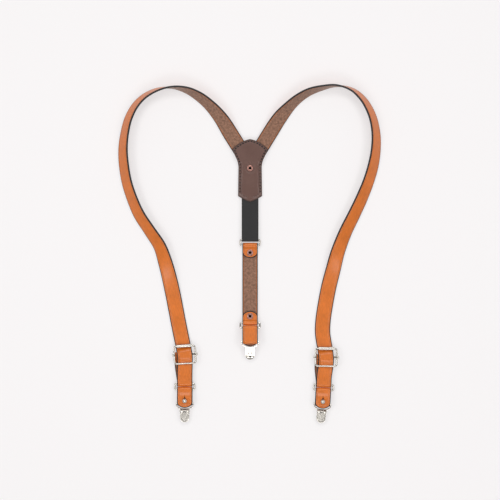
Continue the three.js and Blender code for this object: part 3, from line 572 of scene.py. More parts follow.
def plate_mesh(name, outlines, low, high, bevel, matrix):
    """A plate with bevelled edges between two heights of a frame. Later outlines are holes."""
    curve = bpy.data.curves.new(name, "CURVE")
    curve.dimensions = "2D"
    curve.fill_mode = "BOTH"
    curve.extrude = (high - low) / 2 - bevel
    curve.bevel_depth = bevel
    curve.bevel_resolution = 2
    curve.offset = -bevel
    for outline in outlines:
        spline = curve.splines.new("POLY")
        spline.points.add(len(outline) - 1)
        for point, (x, y) in zip(spline.points, outline):
            point.co = (x, y, 0, 1)
        spline.use_cyclic_u = True
    holder = in_scene(name, curve)
    mesh = evaluated_mesh(holder)
    bpy.data.objects.remove(holder)
    bpy.data.curves.remove(curve)
    places = read_places(mesh) + np.array([0, 0, (low + high) / 2])
    mesh.vertices.foreach_set("co", (moved(matrix, places) * MM).ravel())
    return finish_mesh(mesh, merge=0.01, sharp=50)


def arc(x, y, radius, start, end, steps=16):
    turns = np.radians(np.linspace(start, end, steps + 1))
    return [(x + radius * math.cos(t), y + radius * math.sin(t)) for t in turns]


def block_mesh(name, low, high, matrix=np.identity(4)):
    corners = [(x, y, z) for x in (low[0], high[0]) for y in (low[1], high[1]) for z in (low[2],
        high[2])]
    faces = [(0, 1, 3, 2), (4, 6, 7, 5), (0, 4, 5, 1), (2, 3, 7, 6), (0, 2, 6, 4), (1, 5, 7, 3)]
    return finish_mesh(write_mesh(name, moved(matrix, corners), faces))


def drill(x, y, radius, low, high, matrix):
    """A cutter that bores a round hole along the Z of a frame."""
    profile = [(0, low), (radius, low), (radius, high), (0, high)]
    return lathe_mesh("drill", profile, set_off(matrix, x, y, 0), 32)


def press(mesh, centre, floor, depth=0.3):
    """Presses the leather in round a rivet at centre, above the height floor, with a ring mark."""
    places = read_places(mesh) / MM
    away = np.hypot(places[:, 0] - centre[0], places[:, 1] - centre[1])
    above = places[:, 2] > floor
    dent = depth * (1 - ease(away, 4.9, 8.2)) + 0.3 * np.exp(-((away - 7.2) / 0.55) ** 2)
    places[:, 2] -= np.where(above, dent, 0)
    mesh.vertices.foreach_set("co", (places * MM).ravel())
    mesh.update()


# ------------------------------------------------------------------ colours and materials
def linear(code):
    """Linear red, green and blue of an sRGB hex colour."""
    parts = [int(code[i:i + 2], 16) / 255 for i in (1, 3, 5)]
    return tuple(v / 12.92 if v <= 0.04045 else ((v + 0.055) / 1.055) ** 2.4 for v in parts)


def feed(tree, made, inputs):
    """Links or sets a node's inputs. A node as a value stands for its first output in use."""
    for name, value in inputs.items():
        if isinstance(value, bpy.types.Node):
            value = next(socket for socket in value.outputs if socket.enabled)
        if isinstance(value, bpy.types.NodeSocket):
            tree.links.new(value, made.inputs[name])
        else:
            made.inputs[name].default_value = value
    return made


def node(tree, kind, inputs=None, **settings):
    """Adds a node with its settings, and links or sets its inputs."""
    made = tree.nodes.new("ShaderNode" + kind)
    for name, value in settings.items():
        setattr(made, name, value)
    return feed(tree, made, inputs or {})


def start_material(name):
    """An empty material's tree and its principled shader, which the output already takes."""
    material = bpy.data.materials.new(name)
    material.use_nodes = True
    tree = material.node_tree
    shader = tree.nodes["Principled BSDF"]
    return material, tree, shader


def rgba(colour, gain=1.0):
    return (*[min(max(v * gain, 0), 1) for v in colour], 1)


def leather_grain(name, colour, rough, crease, mottle=0.13, coat=0.35):
    """Full-grain vegetable-tanned leather, rolled smooth and waxed. The eye gets a warm satin face
    with a slow mottle where the hide took more or less dye, a painted highlight on the band outside
    the crease line, a dark crease, and fine pores that only show as a softer gloss."""
    material, tree, shader = start_material(name)
    flat = node(tree, "Attribute", attribute_name="flat").outputs["Vector"]
    inset = node(tree, "Attribute", attribute_name="inset").outputs["Fac"]
    slow = node(tree, "TexNoise", {"Vector": flat, "Scale": 0.045, "Detail": 4.0, "Roughness": 0.6})
    stretch = node(tree, "VectorMath", {0: flat, 1: (0.55, 0.16, 1.0)}, operation="MULTIPLY")
    fibre = node(tree, "TexNoise", {"Vector": stretch, "Scale": 1.1, "Detail": 3.0})
    both = node(tree, "Math", {0: slow, 1: fibre}, operation="ADD")
    tone = node(tree, "MapRange", {"Value": both, "From Min": 0.7, "From Max": 1.3})
    face = node(tree, "Mix", {"Factor": tone, "A": rgba(colour, 1 - mottle),
        "B": rgba(colour, 1 + mottle)}, data_type="RGBA")
    # The band outside the crease is painted a little lighter, as a painted highlight along it.
    band = node(tree, "MapRange", {"Value": inset, "From Min": crease - 0.2,
        "From Max": crease - 0.6, "To Max": 0.55 if crease < 5 else 0.0})
    lit = node(tree, "Mix", {"Factor": band, "A": face, "B": rgba(colour, 1.25)}, data_type="RGBA")
    line = node(tree, "Math", {0: inset, 1: crease}, operation="SUBTRACT")
    near = node(tree, "Math", {0: line}, operation="ABSOLUTE")
    dark = node(tree, "MapRange", {"Value": near, "From Min": 0.12, "From Max": 0.45,
        "To Min": 0.75, "To Max": 0.0})
    creased = node(tree, "Mix", {"Factor": dark, "A": lit, "B": rgba(colour, 0.42)},
        data_type="RGBA")
    # Where the paint ends its edge has soaked in, so the leather darkens over the last bit.
    rim = node(tree, "MapRange", {"Value": inset, "From Min": 1.4, "From Max": 1.8, "To Min": 0.35,
        "To Max": 0.0})
    soaked = node(tree, "Mix", {"Factor": rim, "A": creased, "B": rgba(colour, 0.3)},
        data_type="RGBA")
    gloss = node(tree, "MapRange", {"Value": slow, "From Min": 0.3, "From Max": 0.7,
        "To Min": rough - 0.06, "To Max": rough + 0.06})
    # Pores are 0.15 mm on the hide. They are drawn at 0.7 mm, or they would vanish in the picture.
    pores = node(tree, "TexVoronoi", {"Vector": flat, "Scale": 1.4}, feature="F1")
    bumped = node(tree, "Bump", {"Height": pores, "Strength": 0.25, "Distance": 0.00006})
    feed(tree, shader, {"Base Color": soaked, "Roughness": gloss, "Normal": bumped, "IOR": 1.48,
        "Coat Weight": coat, "Coat Roughness": 0.2})
    return material


def leather_flesh(name, colour, trace):
    """The flesh side of the same hide, slicked down with gum. The eye gets a matt brown nap with
    short pale and dark fibres, cloudy where it was slicked, and a thin trace of the face's colour
    beside the painted edge."""
    material, tree, shader = start_material(name)
    flat = node(tree, "Attribute", attribute_name="flat").outputs["Vector"]
    inset = node(tree, "Attribute", attribute_name="inset").outputs["Fac"]
    cloud = node(tree, "TexNoise", {"Vector": flat, "Scale": 0.28, "Detail": 3.0})
    nap = node(tree, "TexNoise", {"Vector": flat, "Scale": 0.8, "Detail": 4.0, "Roughness": 0.75,
        "Distortion": 1.2})
    speck = node(tree, "TexNoise", {"Vector": flat, "Scale": 2.2, "Detail": 2.0})
    half = node(tree, "Math", {0: nap, 1: speck}, operation="ADD")
    whole = node(tree, "Math", {0: half, 1: cloud}, operation="ADD")
    tone = node(tree, "MapRange", {"Value": whole, "From Min": 1.25, "From Max": 1.75})
    face = node(tree, "Mix", {"Factor": tone, "A": rgba(colour, 0.55), "B": rgba(colour, 1.4)},
        data_type="RGBA")
    edge = node(tree, "MapRange", {"Value": inset, "From Min": 1.8, "From Max": 2.5, "To Min": 0.6,
        "To Max": 0.0})
    made = node(tree, "Mix", {"Factor": edge, "A": face, "B": rgba(trace, 0.75)}, data_type="RGBA")
    bumped = node(tree, "Bump", {"Height": half, "Strength": 0.5, "Distance": 0.00025})
    feed(tree, shader, {"Base Color": made, "Normal": bumped, "Roughness": 0.88, "IOR": 1.45,
        "Sheen Weight": 0.25, "Sheen Roughness": 0.5})
    return material


def edge_paint(name, colour):
    """Acrylic edge paint, rolled on in coats and sanded between. The eye gets a soft black bead
    with a low gloss and slight waves along it."""
    material, tree, shader = start_material(name)
    flat = node(tree, "Attribute", attribute_name="flat").outputs["Vector"]
    waves = node(tree, "TexNoise", {"Vector": flat, "Scale": 0.35, "Detail": 2.0})
    tone = node(tree, "Mix", {"Factor": waves, "A": rgba(colour, 0.8), "B": rgba(colour, 1.25)},
        data_type="RGBA")
    gloss = node(tree, "MapRange", {"Value": waves, "From Min": 0.3, "From Max": 0.7,
        "To Min": 0.45, "To Max": 0.6})
    bumped = node(tree, "Bump", {"Height": waves, "Strength": 0.4, "Distance": 0.0002})
    feed(tree, shader, {"Base Color": tone, "Roughness": gloss, "Normal": bumped, "IOR": 1.49})
    return material


def woven_elastic(name, colour, rib, pick):
    """Woven elastic webbing of polyester over rubber. The eye gets matt black ribs along the band,
    crossed by fine picks, and a flatter selvedge at each side."""
    material, tree, shader = start_material(name)
    flat = node(tree, "Attribute", attribute_name="flat").outputs["Vector"]
    inset = node(tree, "Attribute", attribute_name="inset").outputs["Fac"]
    # Yarns of such a band are usually under 0.5 mm apart. They are drawn over 1 mm apart to show.
    parts = node(tree, "SeparateXYZ", {"Vector": flat})
    ribs = node(tree, "Math", {0: parts.outputs["X"], 1: math.pi / rib}, operation="MULTIPLY")
    rib_wave = node(tree, "Math", {0: ribs}, operation="SINE")
    picks = node(tree, "Math", {0: parts.outputs["Y"], 1: math.pi / pick}, operation="MULTIPLY")
    pick_wave = node(tree, "Math", {0: picks}, operation="SINE")
    weave = node(tree, "Math", {0: rib_wave, 1: pick_wave}, operation="MULTIPLY")
    height = node(tree, "Math", {0: weave}, operation="ABSOLUTE")
    fuzz = node(tree, "TexNoise", {"Vector": flat, "Scale": 0.9, "Detail": 3.0})
    mixed = node(tree, "Math", {0: height, 1: fuzz}, operation="MULTIPLY")
    tone = node(tree, "MapRange", {"Value": mixed, "From Max": 0.6})
    face = node(tree, "Mix", {"Factor": tone, "A": rgba(colour, 0.6), "B": rgba(colour, 1.4)},
        data_type="RGBA")
    selvedge = node(tree, "MapRange", {"Value": inset, "From Min": 2.4, "From Max": 2.0,
        "To Max": 0.55})
    made = node(tree, "Mix", {"Factor": selvedge, "A": face, "B": rgba(colour, 0.55)},
        data_type="RGBA")
    bumped = node(tree, "Bump", {"Height": height, "Strength": 0.6, "Distance": 0.00022})
    feed(tree, shader, {"Base Color": made, "Normal": bumped, "Roughness": 0.82,
        "Sheen Weight": 0.2})
    return material


def plated_metal(name, colour, rough, stain, spread=0.05):
    """Steel that was formed, polished and electroplated. The eye gets a bright, slightly warm
    mirror that is broken by faint smears, fine scratches and a little tarnish."""
    material, tree, shader = start_material(name)
    place = node(tree, "TexCoord").outputs["Object"]
    smear = node(tree, "TexNoise", {"Vector": place, "Scale": 160.0, "Detail": 4.0,
        "Roughness": 0.6})
    tone = node(tree, "MapRange", {"Value": smear, "From Min": 0.45, "From Max": 0.75,
        "To Max": stain})
    face = node(tree, "Mix", {"Factor": tone, "A": rgba(colour), "B": rgba(colour, 0.45)},
        data_type="RGBA")
    gloss = node(tree, "MapRange", {"Value": smear, "From Min": 0.3, "From Max": 0.7,
        "To Min": max(rough - spread, 0.05), "To Max": rough + spread})
    long = node(tree, "VectorMath", {0: place, 1: (1.0, 0.12, 1.0)}, operation="MULTIPLY")
    # Polishing scratches are a few hundredths of a millimetre wide and are drawn at 0.4 mm.
    scratch = node(tree, "TexNoise", {"Vector": long, "Scale": 2500.0, "Detail": 1.0})
    bumped = node(tree, "Bump", {"Height": scratch, "Strength": 0.05, "Distance": 0.00005})
    feed(tree, shader, {"Base Color": face, "Roughness": gloss, "Normal": bumped, "Metallic": 1.0})
    return material


def moulded_plastic(name, colour, rough, scale):
    """Moulded polypropylene. The eye gets a dull black with the fine grain of its mould."""
    material, tree, shader = start_material(name)
    place = node(tree, "TexCoord").outputs["Object"]
    grain = node(tree, "TexNoise", {"Vector": place, "Scale": scale, "Detail": 2.0})
    tone = node(tree, "Mix", {"Factor": grain, "A": rgba(colour, 0.75), "B": rgba(colour, 1.25)},
        data_type="RGBA")
    bumped = node(tree, "Bump", {"Height": grain, "Strength": 0.3, "Distance": 0.0001})
    feed(tree, shader, {"Base Color": tone, "Normal": bumped, "Roughness": rough, "IOR": 1.49})
    return material


def waxed_thread(name, colour):
    """Waxed polyester thread of three twisted strands. The eye gets black beads with a waxy glint,
    ridged across by the twist."""
    material, tree, shader = start_material(name)
    place = node(tree, "TexCoord").outputs["Object"]
    twist = node(tree, "TexWave", {"Vector": place, "Scale": 350.0, "Distortion": 1.0},
        bands_direction="DIAGONAL")
    tone = node(tree, "Mix", {"Factor": twist.outputs["Fac"], "A": rgba(colour, 0.6),
        "B": rgba(colour, 1.5)}, data_type="RGBA")
    bumped = node(tree, "Bump", {"Height": twist.outputs["Fac"], "Strength": 0.5,
        "Distance": 0.0001})
    feed(tree, shader, {"Base Color": tone, "Normal": bumped, "Roughness": 0.4})
    return material


def finishes(scene):
    """The object's materials by name, made once."""
    if not finishes.made:
        leather, webbing = scene.suspenders_leather, scene.suspenders_webbing
        metal, sewing = scene.suspenders_hardware, scene.suspenders_sewing
        crease = leather.crease / MM
        finishes.made.update(
            grain=leather_grain("tan_vegetable_tanned_leather", leather.grain, 0.42, crease),
            flesh=leather_flesh("slicked_leather_flesh_side", leather.flesh, leather.grain),
            edge=edge_paint("black_edge_paint", leather.edge),
            patch_edge=edge_paint("brown_edge_dye", leather.patch_edge),
            patch=leather_grain("chocolate_waxed_leather", leather.patch, 0.4, 50.0, 0.09),
            elastic=woven_elastic("woven_elastic_webbing", webbing.colour, webbing.rib / MM,
                webbing.pick / MM),
            nickel=plated_metal("polished_nickel_plated_steel", metal.nickel, 0.12, 0.15, 0.03),
            satin=plated_metal("satin_nickel_plated_sheet", metal.nickel, 0.16, 0.12, 0.03),
            copper=plated_metal("antique_copper_plated_steel", metal.copper, 0.32, 0.75),
            # The rivets' bores are coloured near black: painted shade for the depth of the hollow
            # bore.
            bore=moulded_plastic("rivet_bore_painted_shade", metal.bore, 0.7, 900.0),
            pad=moulded_plastic("moulded_polypropylene_pad", metal.pad, 0.5, 1400.0),
            thread=waxed_thread("waxed_polyester_thread", sewing.colour),
        )
    return finishes.made


finishes.made = {}


def leathers(scene, face="grain", edge="edge"):
    made = finishes(scene)
    return [made[face], made["flesh"], made[edge]]


# ------------------------------------------------------------------ settings
def length(name, description, default, **more):
    return FloatProperty(name=name, description=description, default=default, unit="LENGTH", **more)


def colour(name, description, code):
    return FloatVectorProperty(name=name, description=description, default=linear(code),
        subtype="COLOR", size=3, min=0.0, max=1.0)


class SUSPENDERS_PG_leather(bpy.types.PropertyGroup):
    width: length("Strap width", "Width of every leather strap and tab", 0.023)
    thickness: length("Strap thickness", "Thickness of the shoulder straps", 0.0028)
    tab: length("Tab thickness", "Thickness of the tabs and the back strap", 0.0022)
    skived: length("Skived thickness", "Thickness of the strap ends pared down for a fold", 0.0016)
    crease: length("Crease inset", "How far in from the edge the crease line runs", 0.0029)
    round_end: length("Rounded end", "Length over which a strap end is rounded", 0.0084)
    grain: colour("Grain side", "Dye of the smooth side", "#D26E1A")
    flesh: colour("Flesh side", "Colour of the suede side", "#8A6653")
    edge: colour("Painted edge", "Colour of the edge paint", "#171416")
    patch: colour("Yoke patch", "Dye of the inner yoke patch", "#61443C")
    patch_edge: colour("Yoke edge", "Colour of the yoke's dyed edges", "#4A342E")


class SUSPENDERS_PG_webbing(bpy.types.PropertyGroup):
    width: length("Band width", "Width of the elastic band", 0.025)
    thickness: length("Band thickness", "Thickness of one layer of the elastic", 0.0014)
    rib: length("Rib pitch", "Spacing of the ribs along the band", 0.0012)
    pick: length("Pick pitch", "Spacing of the weft threads across the band", 0.0011)
    colour: colour("Band colour", "Colour of the yarn", "#29292B")


class SUSPENDERS_PG_hardware(bpy.types.PropertyGroup):
    nickel: colour("Nickel plate", "Colour of the plated steel", "#D6D2CB")
    copper: colour("Copper plate", "Colour of the rivets", "#B98A80")
    # Near black inside the rivets is painted shade for the depth of the bore.
    bore: colour("Rivet bore", "Colour inside the hollow rivets", "#141112")
    pad: colour("Grip pad", "Colour of the clips' plastic pads", "#1D1D1E")


class SUSPENDERS_PG_sewing(bpy.types.PropertyGroup):
    # Such thread is usually about 1 mm thick. It is drawn 1.8 mm thick so that it shows.
    pitch: length("Stitch pitch", "From one stitch to the next", 0.0044)
    stitch: length("Stitch length", "How much of each stitch shows", 0.0030)
    thread: length("Thread", "Thickness of the thread", 0.0018)
    margin: length("Margin", "How far in from the edge the seam runs", 0.0028)
    colour: colour("Thread colour", "Colour of the thread", "#0F0E0F")


class SUSPENDERS_PG_stage(bpy.types.PropertyGroup):
    view: length("View width", "Width of floor that the picture takes in", 0.75)
    height: length("Camera height", "How far above the floor the camera is", 3.0)
    floor: colour("Floor", "Colour of the floor", "#F8F6F7")
    soft: FloatProperty(name="Fill light", description="Strength of the light from all round",
        default=0.38, min=0.0)
    lamps: FloatProperty(name="Softboxes", description="Power of each softbox", default=7.5,
        min=0.0, subtype="POWER")


# ------------------------------------------------------------------ leather straps
def shoulder_line(side, leather):
    """A shoulder strap's line from the yoke, through the adjuster, round the ring and back to the
    adjuster's bar, and the number of the row that lies under the roller."""
    strap_shift, fold_shift, raised = SHIFTS[side]
    width, thick, thin = leather.width / MM, leather.thickness / MM, leather.skived / MM
    buckle = buckle_axes(side)
    ring = ring_axes(f"{side}_ring_swing", f"{side}_tab_swing")
    floor_ring = ring.copy()
    floor_ring[2, 3] = SHIFT[2]
    upper = RING["spacing"] / 2
    half = FRAME["length"] / 2
    over = BAR["width"] / 2 + thin
    route = [(x + SHIFT[0], y + SHIFT[1], lean, lift) for x, y, lean, lift in ROUTES[side]]

    def laid(matrix, x, y, lift, turned=None):
        place = moved(matrix, (x, 0, 0))
        way = (turned if turned is not None else matrix)[:3, 1]
        place = place + y * way
        return (place[0], place[1], 180.0, lift)

    rows = route + [
        laid(buckle, strap_shift, half, WEAVE["roller"]),
        laid(buckle, strap_shift * 0.8, half - ROLLER["radius"], WEAVE["roller"]),
        laid(buckle, strap_shift * 0.3, over, WEAVE["bar"]),
        laid(buckle, 0, -over, WEAVE["bar"]),
        laid(buckle, 0, -half, WEAVE["wire"], ring),
        laid(floor_ring, 0, upper + 12, WEAVE["ring"]),
        laid(floor_ring, 0, upper + 1, WEAVE["ring"]),
    ]
    dense, where = smooth_curve([row[:3] for row in rows], 1.6, 2)
    before = np.minimum(np.floor(where).astype(int), len(rows) - 2)
    lifts = np.array([row[3] for row in rows])
    lift = lifts[before] + (lifts[before + 1] - lifts[before]) * ease(where - before)
    lean = np.radians(dense[:, 2])
    flat_at = np.column_stack([dense[:, :2], np.zeros(len(dense))])
    along = unit(np.gradient(flat_at, axis=0))
    sideways = np.cross(along, [0, 0, 1]) * raised
    hint = sideways * np.cos(lean)[:, None] + np.outer(np.sin(lean), [0, 0, 1])
    flat_at[:, 2] = (SHIFT[2] + lift + width / 2 * np.sin(lean) + thick / 2 * np.abs(np.cos(lean)))

    turn = RING["wire"] + GAP + thick / 2
    bar_turn = BAR["thickness"] / 2 + GAP + thin / 2
    off = BAR["width"] / 2 - SEAT
    rivet = -END_RIVET["below"]
    at_ring = [(upper + 0.3, turn, thick), *bend(upper, 0, turn, 90, 270, thick),
        (upper + 2, -turn, thick)]
    at_bar = [
        (FOLD["flat"], thick / 2, thick), (FOLD["pared"], FOLD_LOW, thin),
        *settle(FOLD["rise"], FOLD_LOW, -off, BAR["height"] - bar_turn, thin, 3),
        *bend(off, BAR["height"], bar_turn, -90, 90, thin, 8),
        *settle(-off, BAR["height"] + bar_turn,
            rivet + END_RIVET["head"] + SEAT, FOLD_HIGH, thin, 4),
        (FOLD["end"], FOLD_HIGH, thin),
    ]
    ringed = moved(ring, [(0, y, z) for y, z, _ in at_ring])
    barred = moved(buckle, [(fold_shift, y, z) for y, z, _ in at_bar])
    thicks = [t for _, _, t in at_ring + at_bar]
    folded = np.column_stack([np.vstack([ringed, barred]), thicks])
    folded, _ = smooth_curve(folded, 0.8, 3)
    share = ease(np.arange(len(folded)) / len(folded), 0.45, 0.6)[:, None]
    folded_hint = ring[:3, 0] * (1 - share) + buckle[:3, 0] * share
    line = Line(
        np.vstack([flat_at, folded[:, :3]]),
        np.vstack([hint * raised, folded_hint]),
        np.concatenate([np.full(len(dense), thick), folded[:, 3]]),
    )
    return line, int(np.argmin(np.abs(where - len(route))))


def trim(mesh, point, away):
    """Cuts a mesh off along a plane, and closes the cut."""
    work = bmesh.new()
    work.from_mesh(mesh)
    found = bmesh.ops.bisect_plane(
        work, geom=[*work.verts, *work.edges, *work.faces], dist=1e-7,
        plane_co=Vector(point) * MM, plane_no=Vector(away), clear_outer=True,
    )
    edges = [g for g in found["geom_cut"] if isinstance(g, bmesh.types.BMEdge)]
    if edges:
        bmesh.ops.holes_fill(work, edges=edges)
    work.to_mesh(mesh)
    work.free()
    return mesh


class SUSPENDERS_OT_shoulder_straps(bpy.types.Operator):
    """Make the two long shoulder straps, and their ends folded round the rings and adjusters"""
    bl_idname = "suspenders.shoulder_straps"
    bl_label = "Shoulder Straps"

    def execute(self, context):
        leather = context.scene.suspenders_leather
        width = leather.width / MM
        for side in FRONTS:
            line, split = shoulder_line(side, leather)
            start = int(np.argmax(line.at[:, 1] > YOKE["strap_ends"] + 6.4 + SHIFT[1]))
            mesh = strip_mesh(f"{side}_shoulder_strap", line.part(start, split + 1), width)
            middle = BACK["x"] + SHIFT[0]
            sign = 1 if side == "left" else -1
            trim(mesh, (middle - sign * GAP, 0, 0), (sign, 0, 0))
            finish_mesh(mesh)
            buckle = buckle_axes(side)
            heading = joint_axis(f"{side}_adjuster_slide")
            top = moved(buckle, (0, FRAME["length"] / 2, 0))
            low = moved(buckle, (0, -FRAME["length"] / 2, 0))
            ring = joint_at(f"{side}_ring_swing")
            above = [tuple((top + heading * far) * MM) for far in (150, 6)]
            add_piece(mesh.name, mesh, leathers(context.scene),
                ("root", f"{side}_adjuster", above[0], above[1]),
                "leather_tan", f"{side}_strap")
            mesh = strip_mesh(f"{side}_strap_return", line.part(split, len(line.at)), width)
            below = [tuple((low - heading * 1.5) * MM), tuple((ring + heading * 7) * MM)]
            add_piece(mesh.name, mesh, leathers(context.scene),
                (f"{side}_adjuster", f"{side}_strap_end", below[0], below[1]),
                "leather_tan", f"{side}_strap_end")
        return {"FINISHED"}


class SUSPENDERS_OT_elastic(bpy.types.Operator):
    """Make the loop of woven elastic between the yoke and the back's upper ring"""
    bl_idname = "suspenders.elastic"
    bl_label = "Elastic Loop"

    def execute(self, context):
        webbing = context.scene.suspenders_webbing
        thick = webbing.thickness / MM
        low = SEWN + thick / 2
        high = low + thick + GAP
        bar_y = BACK["upper_ring"] + RING["spacing"] / 2
        bar_z = RING_Z - 0.6
        turn = RING["wire"] + GAP + thick / 2
        top = YOKE["strap_ends"] - 1
        under = YOKE["bottom"] - 2
        rows = [
            (top, high, thick), (110, high, thick),
            *settle(under, high, bar_y + 1, bar_z + turn, thick, 5),
            *bend(bar_y, bar_z, turn, 90, 270, thick),
            *settle(bar_y + 1, bar_z - turn, under, low, thick, 5),
            (110, low, thick), (top, low, thick),
        ]
        matrix = layout_axes(BACK["x"])
        line = side_line(rows, matrix, grain=1)
        mesh = strip_mesh("elastic_band", line, webbing.width / MM, WOVEN_SECTION, lanes=8,
            crown=0.0)
        mesh = finish_mesh(cut(mesh, drill(0, YOKE["rivet"], RIVET["barrel"] + 0.1, -1, 20,
            matrix)))
        start = tuple(moved(matrix, (0, YOKE["bottom"] - 1, 0)) * MM)
        end = tuple(moved(matrix, (0, bar_y + 4, 0)) * MM)
        add_piece("elastic_band", mesh, [finishes(context.scene)["elastic"]],
            ("root", "elastic", start, end), "elastic_black", "elastic_loop")
        return {"FINISHED"}


class SUSPENDERS_OT_back_strap(bpy.types.Operator):
    """Make the back strap, flesh side up, with both ends folded up over the rings"""
    bl_idname = "suspenders.back_strap"
    bl_label = "Back Strap"

    def execute(self, context):
        leather = context.scene.suspenders_leather
        thick = leather.tab / MM
        turn = RING["wire"] + GAP + thick / 2
        bar_z = thick + GAP + RING["wire"]
        top_y = BACK["upper_ring"] - RING["spacing"] / 2
        low_y = BACK["lower_ring"] + RING["spacing"] / 2
        laid, lift = thick / 2, BACK["lift"]
        on_top = laid + thick + GAP
        flat = RIVET["flange"] + SEAT
        rows = [
            (top_y - BACK["upper_flap"], on_top, thick),
            *settle(top_y - BACK["upper_rivet"] + flat, on_top, top_y - 0.5, bar_z + turn, thick),
            *bend(top_y, bar_z, turn, 90, -90, thick),
            *settle(top_y - BACK["upper_flap"] - flat, laid,
                low_y + BACK["lower_flap"] + flat, laid + lift, thick, 8),
            *bend(low_y, bar_z + lift, turn, -90, -270, thick),
            *settle(low_y + 0.5, bar_z + lift + turn, low_y + BACK["lower_rivet"] - flat,
                on_top + lift, thick),
            (low_y + BACK["lower_flap"], on_top + lift, thick),
        ]
        matrix = layout_axes(BACK["x"])
        ends = (leather.round_end / MM, leather.round_end / MM)
        line = side_line(rows, matrix)
        mesh = strip_mesh("back_leather_strap", line, leather.width / MM, ends=ends, lanes=16)
        rivets = [(top_y - BACK["upper_rivet"], 0), (low_y + BACK["lower_rivet"], lift)]
        for y, raised in rivets:
            press(mesh, moved(matrix, (0, y, 0)), on_top + raised + 0.4 * thick)
            mesh = cut(mesh, drill(0, y, RIVET["barrel"] + 0.1, -1, 20, matrix))
        finish_mesh(mesh)
        add_piece("back_leather_strap", mesh, leathers(context.scene), "back_strap", "leather_tan",
            "back_strap")
        return {"FINISHED"}


class SUSPENDERS_OT_tabs(bpy.types.Operator):
    """Make the three clip tabs, each buttoned over its ball stud through a slit keyhole"""
    bl_idname = "suspenders.tabs"
    bl_label = "Clip Tabs"

    def execute(self, context):
        leather = context.scene.suspenders_leather
        thick = leather.tab / MM
        at_ring = RING["wire"] + GAP + thick / 2
        at_bail = TAB["room"] + thick / 2
        bail_z = TAB["bail_z"]
        inner = bail_z + at_bail + thick / 2
        flap_z = inner + STUD["base_height"] + GAP + thick / 2
        for side in CLIPS:
            matrix = tab_axes(side)
            rows = [
                *settle(-TAB["flap"], flap_z - 0.3, -TAB["stud"], flap_z, thick, 2),
                *settle(-TAB["stud"] + STUD["base"] + 1, flap_z, -1.5, at_ring, thick, 4),
                *bend(0, 0, at_ring, 90, -90, thick),
                *settle(-2, -at_ring, -TAB["span"] + 2, bail_z - at_bail, thick, 3),
                *bend(-TAB["span"], bail_z, at_bail, -90, -270, thick),
                *settle(-TAB["span"] + 1, bail_z + at_bail, -TAB["inner"], bail_z + at_bail, thick,
                    2),
            ]
            line = side_line(rows, matrix)
            mesh = strip_mesh(f"{side}_clip_tab", line, leather.width / MM,
                ends=(leather.round_end / MM, 0), lanes=12)
            y = -TAB["stud"]
            hole = arc(0, y, 2.9, -205, 25, 20) + [(0.35, y + 5.6), (0.3, y + 8.0), (-0.3, y + 8.0),
                (-0.35, y + 5.6)]
            keyhole = plate_mesh("keyhole", [hole], flap_z - thick, flap_z + thick, 0.01, matrix)
            mesh = finish_mesh(cut(slotted(mesh), numbered(keyhole, EDGE)))
            add_piece(f"{side}_clip_tab", mesh, leathers(context.scene), f"{side}_tab",
                "leather_tan", f"{side}_tab")
        return {"FINISHED"}


# ------------------------------------------------------------------ the yoke
def bezier(start, middle, end, steps):
    share = np.arange(1, steps + 1)[:, None] / steps
    start, middle, end = (np.array(p, float) for p in (start, middle, end))
    return ((1 - share) ** 2 * start + 2 * share * (1 - share) * middle + share ** 2 * end).tolist()


def straight(start, end, steps):
    return [tuple(np.array(start) + (np.array(end) - np.array(start)) * i / steps)
        for i in range(1, steps + 1)]


def yoke_outline(inset):
    """The patches' outline about the yoke's middle line, anticlockwise from its lowest point."""
    side, top_side = YOKE["half"] - inset, YOKE["corner_half"] - 1.2 * inset
    low, hip = YOKE["bottom"] + inset, YOKE["hip"] + inset
    waist, corner, peak = YOKE["waist"], YOKE["corner"] - 0.3 * inset, YOKE["peak"] - inset
    points = [(0.0, low)]
    points += bezier((0, low), (side * 0.55, low + 3), (side, hip), 12)
    points += straight((side, hip), (side - 0.6, waist - 8), 26)
    points += bezier((side - 0.6, waist - 8), (side, waist + 1), (side + 3.6, waist + 7), 10)
    points += straight((side + 3.6, waist + 7), (top_side, corner), 8)
    points += bezier((top_side, corner), (top_side * 0.5, peak - 2), (0, peak), 18)
    right = np.array(points)
    return np.vstack([right, (right * [-1, 1])[-2:0:-1]])


def edge_distance(points, outline):
    """How far each point is from the nearest stretch of an outline."""
    ends = np.roll(outline, -1, axis=0)
    best = np.full(len(points), np.inf)
    for a, b in zip(outline, ends):
        way = b - a
        share = np.clip((points - a) @ way / max(way @ way, 1e-9), 0, 1)
        best = np.minimum(best, np.linalg.norm(points - a - share[:, None] * way, axis=1))
    return best


def sheltered(x, y):
    """How much of the yoke's inner patch the elastic and the strap ends lift at a place."""
    over_band = 1 - ease(np.abs(x), BAND_HALF - 0.6, BAND_HALF + 2.4)
    return np.maximum(over_band, ease(y, *STRAPS_FROM))


